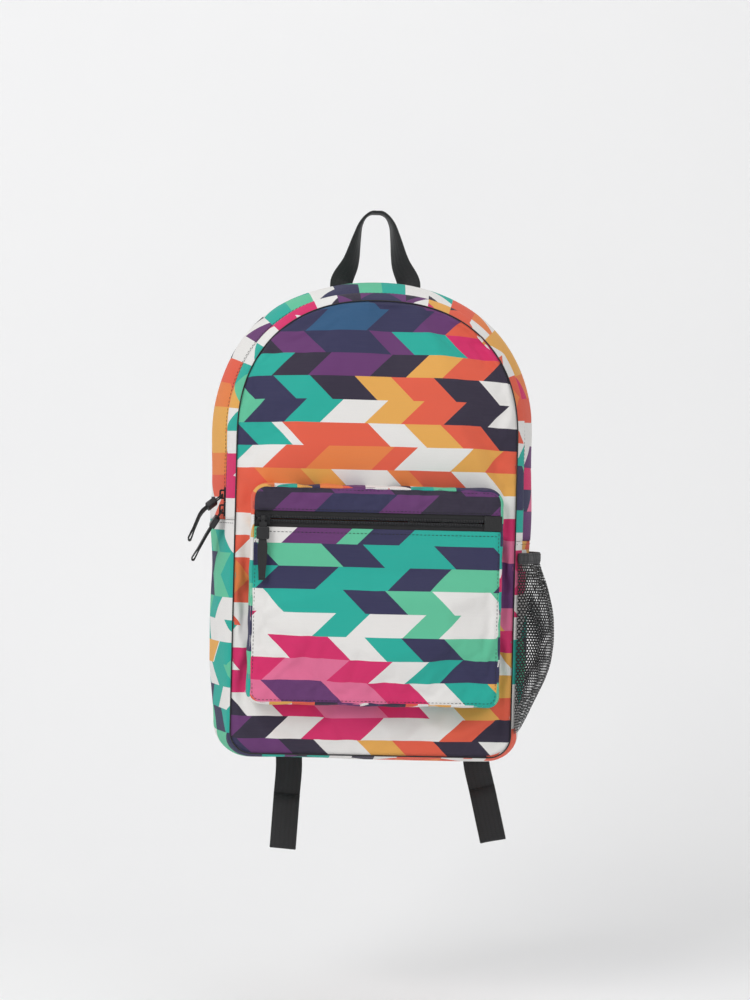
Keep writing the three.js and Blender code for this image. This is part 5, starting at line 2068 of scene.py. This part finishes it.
@dataclass
class HaulLoop(SubAssembly):
    """The webbing loop at the top."""

    width: float = 0.022
    thickness: float = 0.002
    half_spread: float = 0.027
    shoulder: float = 0.015
    shoulder_drop: float = 0.013
    twist_power: float = 0.7

    def build(self) -> None:
        """Makes the loop, turned edge-on as it rises."""
        form = self.form
        seam_y = -self.thickness / 2 - form.seat
        share = (self.half_spread / form.half_width) ** (form.arch_power / 2)
        seam = form.arch(acos(-share))
        out = form.strip_outset(seam_y - self.thickness / 2) - 0.0012
        foot = seam.offset(out, seam_y)
        leg_z = foot.z
        middle = self.thickness / 2
        left = [
            foot,
            seam.offset(out + 0.0085, seam_y * 0.9),
            Vector((-mix(self.half_spread, self.shoulder, 0.35), seam_y * 0.6,
                    mix(leg_z, -self.shoulder_drop, 0.45))),
            Vector((-mix(self.half_spread, self.shoulder, 0.8), seam_y * 0.3,
                    mix(leg_z, -self.shoulder_drop, 0.85))),
            Vector((-self.shoulder + 0.0008, 0, -self.shoulder_drop * 0.75)),
            Vector((-self.shoulder * 0.66, 0, -self.shoulder_drop * 0.2)),
            Vector((-self.shoulder * 0.33, 0, middle * 0.7)),
            Vector((0, 0, middle)),
        ]
        right = [Vector((-p.x, p.y, p.z)) for p in reversed(left[:-1])]
        route = catmull_rom([*left, *right], 9)

        def across(i: int, run: Vector) -> Vector:
            """Turns the webbing's width to the rear as it rises."""
            turn = pi / 2 * along(route[i].z, leg_z, -0.002) ** self.twist_power
            return Vector((run.z, 0, -run.x)) * cos(turn) + REAR * sin(turn)

        sections = ribbon_sections(route, self.width, self.thickness, across)
        maker = MeshMaker("haul_webbing").tube(sections, 2 * self.width).turned_out()
        piece = maker.finish(BLACK_WEBBING, self.body, "webbing")
        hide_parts("haul_loop")


@dataclass
class ShoulderStrap(SubAssembly):
    """A padded strap with its lock, webbing and anchor."""

    name: str = "left"
    side: int = -1
    lock: float = 0.074
    lean: float = 5.0
    tail_top: float = 0.067
    tail_end: float = 0.071
    tail_drop: float = 0.580
    thickness: float = 0.009
    top_thickness: float = 0.0032
    width: float = 0.060
    top_width: float = 0.056
    end_width: float = 0.030
    bow: float = 0.023
    top_offset: float = 0.050
    sewn_share: float = 0.085
    lock_drop: float = 0.413
    strap_to_lock: float = 0.025
    stand_off: float = 0.013
    bar_pitch: float = 0.0125
    bar: float = 0.003
    turn_radius: float = 0.0028
    webbing_width: float = 0.024
    webbing_thickness: float = 0.0014
    fold: float = 0.049
    anchor_room: float = 0.0015
    corners: int = 28
    sewn_inset: float = 0.0075
    sewn_width: float = 0.0016
    piping_radius: float = 0.0014
    tab_thickness: float = 0.0022

    @property
    def lock_place(self) -> Matrix:
        """The lock's own frame."""
        spot = Vector((self.side * self.lock, self.form.back_thickness + self.stand_off,
                       -self.lock_drop))
        return Matrix.Translation(spot) @ Matrix.Rotation(
            radians(-self.side * self.lean), 4, "Y"
        )

    def in_lock(self, y: float, z: float) -> Vector:
        """A point in the lock's frame."""
        return self.lock_place @ Vector((0, y, z))

    def middle_line(self) -> list[Vector]:
        """Draws the padded strap's middle line.

        Returns:
            Its points, from the sewn top to the lock.
        """
        form = self.form
        flat_y = form.back_thickness + 2 * form.seat + self.thickness / 2
        sewn = (self.top_thickness - self.thickness) / 2
        end_z = -self.lock_drop + self.strap_to_lock
        top_z = form.front_top - 0.002
        reach = self.lock - 0.002

        def at(x: float, rise: float, t: float) -> Vector:
            """Gives a point by its place across, its rise and its share of the height."""
            return Vector((self.side * x, flat_y + rise, mix(top_z, end_z, t)))

        top = self.top_offset
        return catmull_rom([
            at(top, sewn, 0), at(top, sewn, self.sewn_share / 2), at(top, sewn, self.sewn_share),
            at(mix(top, reach, 0.12), self.bow * 0.08, self.sewn_share + 0.08),
            at(mix(top, reach, 0.36), self.bow * 0.45, 0.25),
            at(mix(top, reach, 0.62), self.bow * 0.88, 0.38),
            at(mix(top, reach, 0.9), self.bow, 0.56),
            at(reach - 0.001, self.bow * 0.8, 0.74),
            self.in_lock(0.0022, self.strap_to_lock + 0.032),
            self.in_lock(0, self.strap_to_lock),
        ], 12)

    def padded_strap(self) -> None:
        """Makes the padded strap, with a bound edge and two sewn rows."""
        line = even_steps(self.middle_line(), 0.003)
        sections: list[list[Vector]] = []
        edges: dict[int, list[Vector]] = {-1: [], 1: []}
        rows: dict[int, list[tuple[Vector, Vector]]] = {-1: [], 1: []}
        for i, spot in enumerate(line):
            t = i / (len(line) - 1)
            run = direction(line, i)
            across = Vector((-run.z, 0, run.x)).normalized()
            out = run.cross(across)
            if out.y < 0:
                out, across = -out, -across
            half = mix(self.top_width, self.width, smooth((t - self.sewn_share) * 5))
            half = mix(half, self.end_width, smooth((t - 0.78) / 0.2)) / 2
            padded = mix(self.thickness, self.thickness - 0.002, smooth((t - 0.8) / 0.2))
            thick = mix(self.top_thickness, padded, smooth((t - self.sewn_share) / 0.08)) / 2
            section = []
            for k in range(self.corners):
                angle = 2 * pi * k / self.corners
                c, s = cos(angle), sin(angle)
                wide = half * copysign(abs(c) ** 0.42, c)
                tall = thick * copysign(abs(s) ** 0.75, s)
                from_row = (abs(wide) - half + self.sewn_inset) / self.sewn_width
                tall *= 1 - 0.3 * exp(-(from_row**2))
                section.append(spot + across * wide + out * tall)
            sections.append(section)
            for side in (-1, 1):
                edges[side].append(spot + across * (side * (half - 0.0002)))
                at = spot + across * (side * (half - self.sewn_inset)) + out * (thick * 0.62)
                rows[side].append((at, out.copy()))
        maker = MeshMaker(f"{self.name}_strap_padding").tube(sections, 0.14).turned_out()
        piece = maker.finish(PADDED_CLOTH, self.body, "padding")
        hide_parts(f"{self.name}_shoulder_strap")
        for label, side in (("inner", -1), ("outer", 1)):
            piping = []
            for i, spot in enumerate(edges[side]):
                run = direction(edges[side], i)
                beside = run.cross(REAR).normalized()
                piping.append(ring(spot, beside, beside.cross(run), self.piping_radius, 8))
            maker = MeshMaker(f"{self.name}_strap_{label}_piping").tube(piping, 0.009)
            maker.turned_out().finish(BLACK_WEBBING, self.body, "webbing")
            self.stitches(f"{self.name}_strap_{label}_stitches", rows[side],
                          pitch=0.0042, length=0.0032)

    def webbing_route(self) -> list[Vector]:
        """Draws the adjusting webbing's middle line.

        Returns:
            Its points, from the anchor to the folded tail.
        """
        form = self.form
        corner = form.bottom_corner(self.side, 60)
        seam = corner.offset(form.back_outset * corner.share - 0.014, 0)
        foot = Vector((seam.x, 0, seam.z))
        target = self.in_lock(0, -self.bar_pitch)
        aim = Vector((target.x - foot.x, 0, target.z - foot.z)).normalized()
        web_y = form.back_thickness + 2 * form.seat + self.tab_thickness
        web_y += self.webbing_thickness / 2
        layer = self.webbing_thickness + form.seat
        tail_in = -self.bar / 2 - form.seat - self.webbing_thickness / 2
        start, on_tab = foot + aim * 0.014, foot + aim * 0.036
        start.y = on_tab.y = web_y
        lock_in = self.in_lock(tail_in - layer - 0.0002, -self.bar_pitch)
        lock_out = self.in_lock(tail_in, -self.bar_pitch - 0.003)
        tail_y = lock_out.y
        tail_top = Vector((self.side * self.tail_top, tail_y,
                           mix(lock_out.z, -self.tail_drop, 0.5)))
        tail_end = Vector((self.side * self.tail_end, tail_y, -self.tail_drop))
        back = (tail_top - tail_end).normalized()
        to_front = Vector((0, -layer, 0))
        turn = [
            self.in_lock(self.turn_radius * cos(a), self.turn_radius * sin(a))
            for a in (radians(180 - 22.5 * k) for k in range(9))
        ]

        def toward(share_x: float, share_z: float) -> Vector:
            """Gives a point between the lock and the tail."""
            return Vector((mix(lock_out.x, tail_top.x, share_x), tail_y,
                           mix(lock_out.z, tail_top.z, share_z)))

        return [
            start,
            on_tab,
            on_tab.lerp(lock_in, 0.5),
            lock_in,
            self.in_lock(-self.turn_radius - 0.0005, -0.0044),
            *turn,
            self.in_lock(0.0023, -0.0034),
            self.in_lock(-0.0004, -self.bar_pitch / 2 - 0.0008),
            self.in_lock(tail_in + 0.0001, -self.bar_pitch + 0.0024),
            lock_out,
            toward(0.35, 0.3), toward(0.75, 0.65), tail_top,
            tail_end + back * self.fold,
            tail_end + back * 0.004,
            tail_end + to_front * 0.12 + back * 0.0006,
            tail_end + to_front * 0.5 - back * 0.0002,
            tail_end + to_front * 0.88 + back * 0.0006,
            tail_end + to_front + back * 0.004,
            tail_end + to_front + back * self.fold,
        ]

    def build(self) -> None:
        """Makes the strap and what hangs on it."""
        form = self.form
        self.padded_strap()
        route = catmull_rom(self.webbing_route(), 5)
        lock_across = self.lock_place.to_3x3() @ Vector((1, 0, 0))

        def across(i: int, run: Vector) -> Vector:
            """Keeps the width level, and in line with the lock where it turns."""
            if hypot(run.x, run.z) < 0.6:
                return lock_across.copy()
            return Vector((run.z, 0, -run.x)) * copysign(1.0, run.z)

        sections = ribbon_sections(route, self.webbing_width, self.webbing_thickness, across)
        maker = MeshMaker(f"{self.name}_tail_webbing").tube(sections, 0.05).turned_out()
        piece = maker.finish(BLACK_WEBBING, self.body, "webbing")
        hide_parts(f"{self.name}_webbing")
        softened(f"{self.name}_lock_tab", f"{self.name}_tab_webbing", PULL_TAPE, self.body,
                 "webbing", 0.0004)
        anchor = softened(f"{self.name}_anchor_tab", f"{self.name}_anchor_cloth", PULL_TAPE,
                          self.body, "webbing", 0.0007, 3)
        floor = form.front_bottom - form.back_outset * form.bottom_share + self.anchor_room
        for vert in anchor.data.vertices:
            vert.co.z = max(vert.co.z, floor)
            half = form.half_at(vert.co.z, form.back_outset) - self.anchor_room
            vert.co.x = self.side * min(self.side * vert.co.x, half)
        softened(f"{self.name}_ladder_lock", f"{self.name}_lock_moulding", PLASTIC, self.body,
                 "moulding", 0.00045)


@dataclass
class SidePocket(SubAssembly):
    """The net pocket on the right side and its binding."""

    mouth: float = 0.0085
    belly: float = 0.017
    near: float = -0.1004
    far: float = -0.002
    top: float = -0.303
    binding: float = 0.010
    bottom: float = -0.461
    net_lift: float = 0.0006
    gather: float = 0.0011
    slack: float = 0.0014
    steps: int = 60

    def gap(self, t: float, z: float) -> float:
        """Tells how far the net stands off the gusset.

        Args:
            t: Share of the way to the rear.
            z: Height.

        Returns:
            The gap.
        """
        u = along(z, self.bottom, self.top - self.binding)
        opened = self.mouth * smooth(u * 1.4) + self.belly * sin(pi * u) ** 0.9
        return opened * sin(pi * min(1.0, max(0.0, t))) ** 0.8

    def surface(self, t: float, z: float, lift: float) -> Vector:
        """Puts a point on the net.

        Args:
            t: Share of the way to the rear.
            z: Height.
            lift: How far outside the net.

        Returns:
            The point.
        """
        form = self.form
        place = form.side(1, z)
        y = mix(self.near, self.far, t)
        out = form.body_outset(place, y) + 2 * form.seat + self.gap(t, z) + lift
        return place.offset(out, y)

    def build(self) -> None:
        """Makes the net and the binding."""
        bound = self.top - self.binding

        def net(u: float, v: float) -> Vector:
            """Puts a point on the gathered net.

            Args:
                u: Share across.
                v: Share up.

            Returns:
                The point.
            """
            inner = sin(pi * u)
            waves = sin(u * 60 + 2 * ripple(v * 4, u))
            gather = self.gather * inner * smooth((v - 0.5) * 2) * waves
            slack = self.slack * inner * ripple(u * 5, v * 6, 3)
            return self.surface(u, mix(self.bottom, bound, v), self.net_lift + gather + slack)

        maker = MeshMaker("side_pocket_net").sheet(
            56, 84, net, lambda u, v: (u * 0.112, v * 0.152)
        ).turned_out(Vector((0, -0.05, -0.38)))
        piece = maker.finish(NET, self.body, "net")
        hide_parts("side_mesh_pocket")

        folded = ((0, 0.0), (0, 0.0018), (0.5, 0.0024), (1, 0.0018), (1, 0.0), (0.5, -0.0001))
        sections = []
        for i in range(self.steps + 1):
            t = i / self.steps
            ruffle = 0.0004 * sin(t * 120)
            sections.append([
                self.surface(t, mix(bound - 0.0005, self.top, rise), out + ruffle)
                for rise, out in folded
            ])
        maker = MeshMaker("side_pocket_binding").tube(sections, 0.024).turned_out()
        piece = maker.finish(ELASTIC, self.body, "elastic", smoothing=1)
        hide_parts("mesh_pocket_binding")
        for name, drop in (("binding_upper_stitches", 0.0022), ("binding_lower_stitches", 0.0078)):
            route = [
                (self.surface(i / self.steps, self.top - drop, 0.0023), Vector((1, 0, 0)))
                for i in range(1, self.steps)
            ]
            self.stitches(name, route)


@dataclass
class Studio:
    """Floor, backdrop, lamps and camera."""

    distance: float = 2.2
    azimuth: float = -3.3
    roll: float = 1.4
    lens_width: float = 0.651
    eye_level: float = -0.260
    front_plane: float = -0.105
    shift_x: float = 0.0013
    sensor: float = 36.0
    half_room: float = 4.0
    near: float = -3.0
    floor: float = -0.72
    wall: float = 1.1
    bend: float = 0.6
    ceiling: float = 3.2

    def backdrop(self) -> None:
        """Makes a pale floor that sweeps up behind the bag."""
        maker = MeshMaker("studio_sweep")

        def place(u: float, v: float) -> Vector:
            """Puts a point on the floor, the bend or the wall.

            Args:
                u: Share across.
                v: Share of the way back and up.

            Returns:
                The point.
            """
            x, turn_y, turn_z = (2 * u - 1) * self.half_room, self.wall - self.bend, self.floor
            if v < 0.4:
                return Vector((x, mix(self.near, turn_y, v / 0.4), turn_z))
            if v < 0.6:
                angle = pi / 2 * (v - 0.4) / 0.2
                return Vector((x, turn_y + self.bend * sin(angle),
                               turn_z + self.bend * (1 - cos(angle))))
            return Vector((x, self.wall, mix(turn_z + self.bend, self.ceiling, (v - 0.6) / 0.4)))

        maker.sheet(2, 60, place, lambda u, v: (u, v)).turned_out(Vector((0, 4.0, -4.0)))
        mesh = bpy.data.meshes.new("studio_sweep")
        maker.bm.to_mesh(mesh)
        maker.bm.free()
        mesh.shade_smooth()
        sweep = linked("studio_sweep", mesh)
        material = bpy.data.materials.new("studio paper")
        material.use_nodes = True
        w = Wiring(material.node_tree)
        shader = material.node_tree.nodes["Principled BSDF"]
        tint = w.noise(w.node("ShaderNodeTexCoord").outputs["Object"], 3.0)
        w.feed(shader.inputs["Base Color"], w.blend(tint, linear("#F6F6F7"), linear("#FAFAFA")))
        w.feed(shader.inputs["Roughness"], 0.9)
        from_behind = w.math(
            "MULTIPLY", w.node("ShaderNodeNewGeometry").outputs["Backfacing"],
            w.node("ShaderNodeLightPath").outputs["Is Camera Ray"],
        )
        w.feed(shader.inputs["Alpha"], w.less(1.0, from_behind))
        mesh.materials.append(material)

    def lamp(self, name: str, at: Vector, target: Vector, size: float, power: float) -> None:
        """Hangs a soft lamp.

        Args:
            name: Its name.
            at: Where it hangs.
            target: What it points to.
            size: Its width.
            power: Its power in watts.
        """
        light = bpy.data.lights.new(name, "AREA")
        light.shape = "SQUARE"
        light.size = size
        light.energy = power
        lamp = linked(name, light)
        lamp.location = at
        lamp.rotation_euler = (target - at).to_track_quat("-Z", "Y").to_euler()

    def camera(self) -> None:
        """Sets the camera at the photograph's angle."""
        data = bpy.data.cameras.new("camera")
        data.sensor_fit = "HORIZONTAL"
        data.sensor_width = self.sensor
        data.lens = self.sensor * self.distance / self.lens_width
        turn = radians(-self.azimuth)
        look = Vector((sin(turn), cos(turn), 0))
        aim = Vector((-self.shift_x, self.front_plane, self.eye_level))
        camera = linked("camera", data)
        facing = look.to_track_quat("-Z", "Y").to_matrix().to_4x4()
        rolled = facing @ Matrix.Rotation(radians(self.roll), 4, "Z")
        camera.matrix_world = Matrix.Translation(aim - look * self.distance) @ rolled
        bpy.context.scene.camera = camera

    def build(self) -> None:
        """Sets up the studio."""
        self.backdrop()
        self.camera()
        middle = Vector((0, -0.05, -0.3))
        for name, at, size, power in (
            ("key", (-1.5, -2.0, 1.3), 1.2, 34.0),
            ("fill", (1.9, -1.8, 0.3), 1.8, 8.0),
            ("top", (0.1, -0.3, 1.9), 1.4, 8.0),
        ):
            self.lamp(name, Vector(at), middle, size, power)
        world = bpy.data.worlds.new("studio air")
        world.use_nodes = True
        background = world.node_tree.nodes["Background"]
        background.inputs["Color"].default_value = (1.0, 1.0, 1.0, 1.0)
        background.inputs["Strength"].default_value = 0.50
        bpy.context.scene.world = world
        bpy.context.scene.view_settings.view_transform = "Standard"


def strap_band(body: str) -> None:
    """Makes the webbing sewn over both strap ends, cut along the back's seam.

    Args:
        body: The body that carries it.
    """
    band = softened("strap_end_band", "strap_end_webbing", PULL_TAPE, body, "webbing", 0.0004)
    out = FORM.back_outset - STRAP_BAND_INSET
    for vert in band.data.vertices:
        rise = along(vert.co.z, FORM.arch_start, FORM.front_top + out)
        half = (FORM.half_width + out) * (1 - rise**FORM.arch_power) ** (1 / FORM.arch_power)
        vert.co.x = max(-half, min(half, vert.co.x))


def main() -> None:
    """Builds every piece around the frame."""
    logging.basicConfig(level=logging.INFO, format="%(name)s: %(message)s")
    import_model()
    BodyCloth().build()
    BackPanel().build()
    FrontPocket().build()
    Zips().build()
    HaulLoop().build()
    ShoulderStrap().build()
    ShoulderStrap(name="right", side=1, lock=0.096, lean=10.0, tail_top=0.105,
                  tail_end=0.122, tail_drop=0.570).build()
    strap_band("bag")
    SidePocket().build()
    Studio().build()
    bpy.context.view_layer.update()


if __name__ == "__main__":
    main()
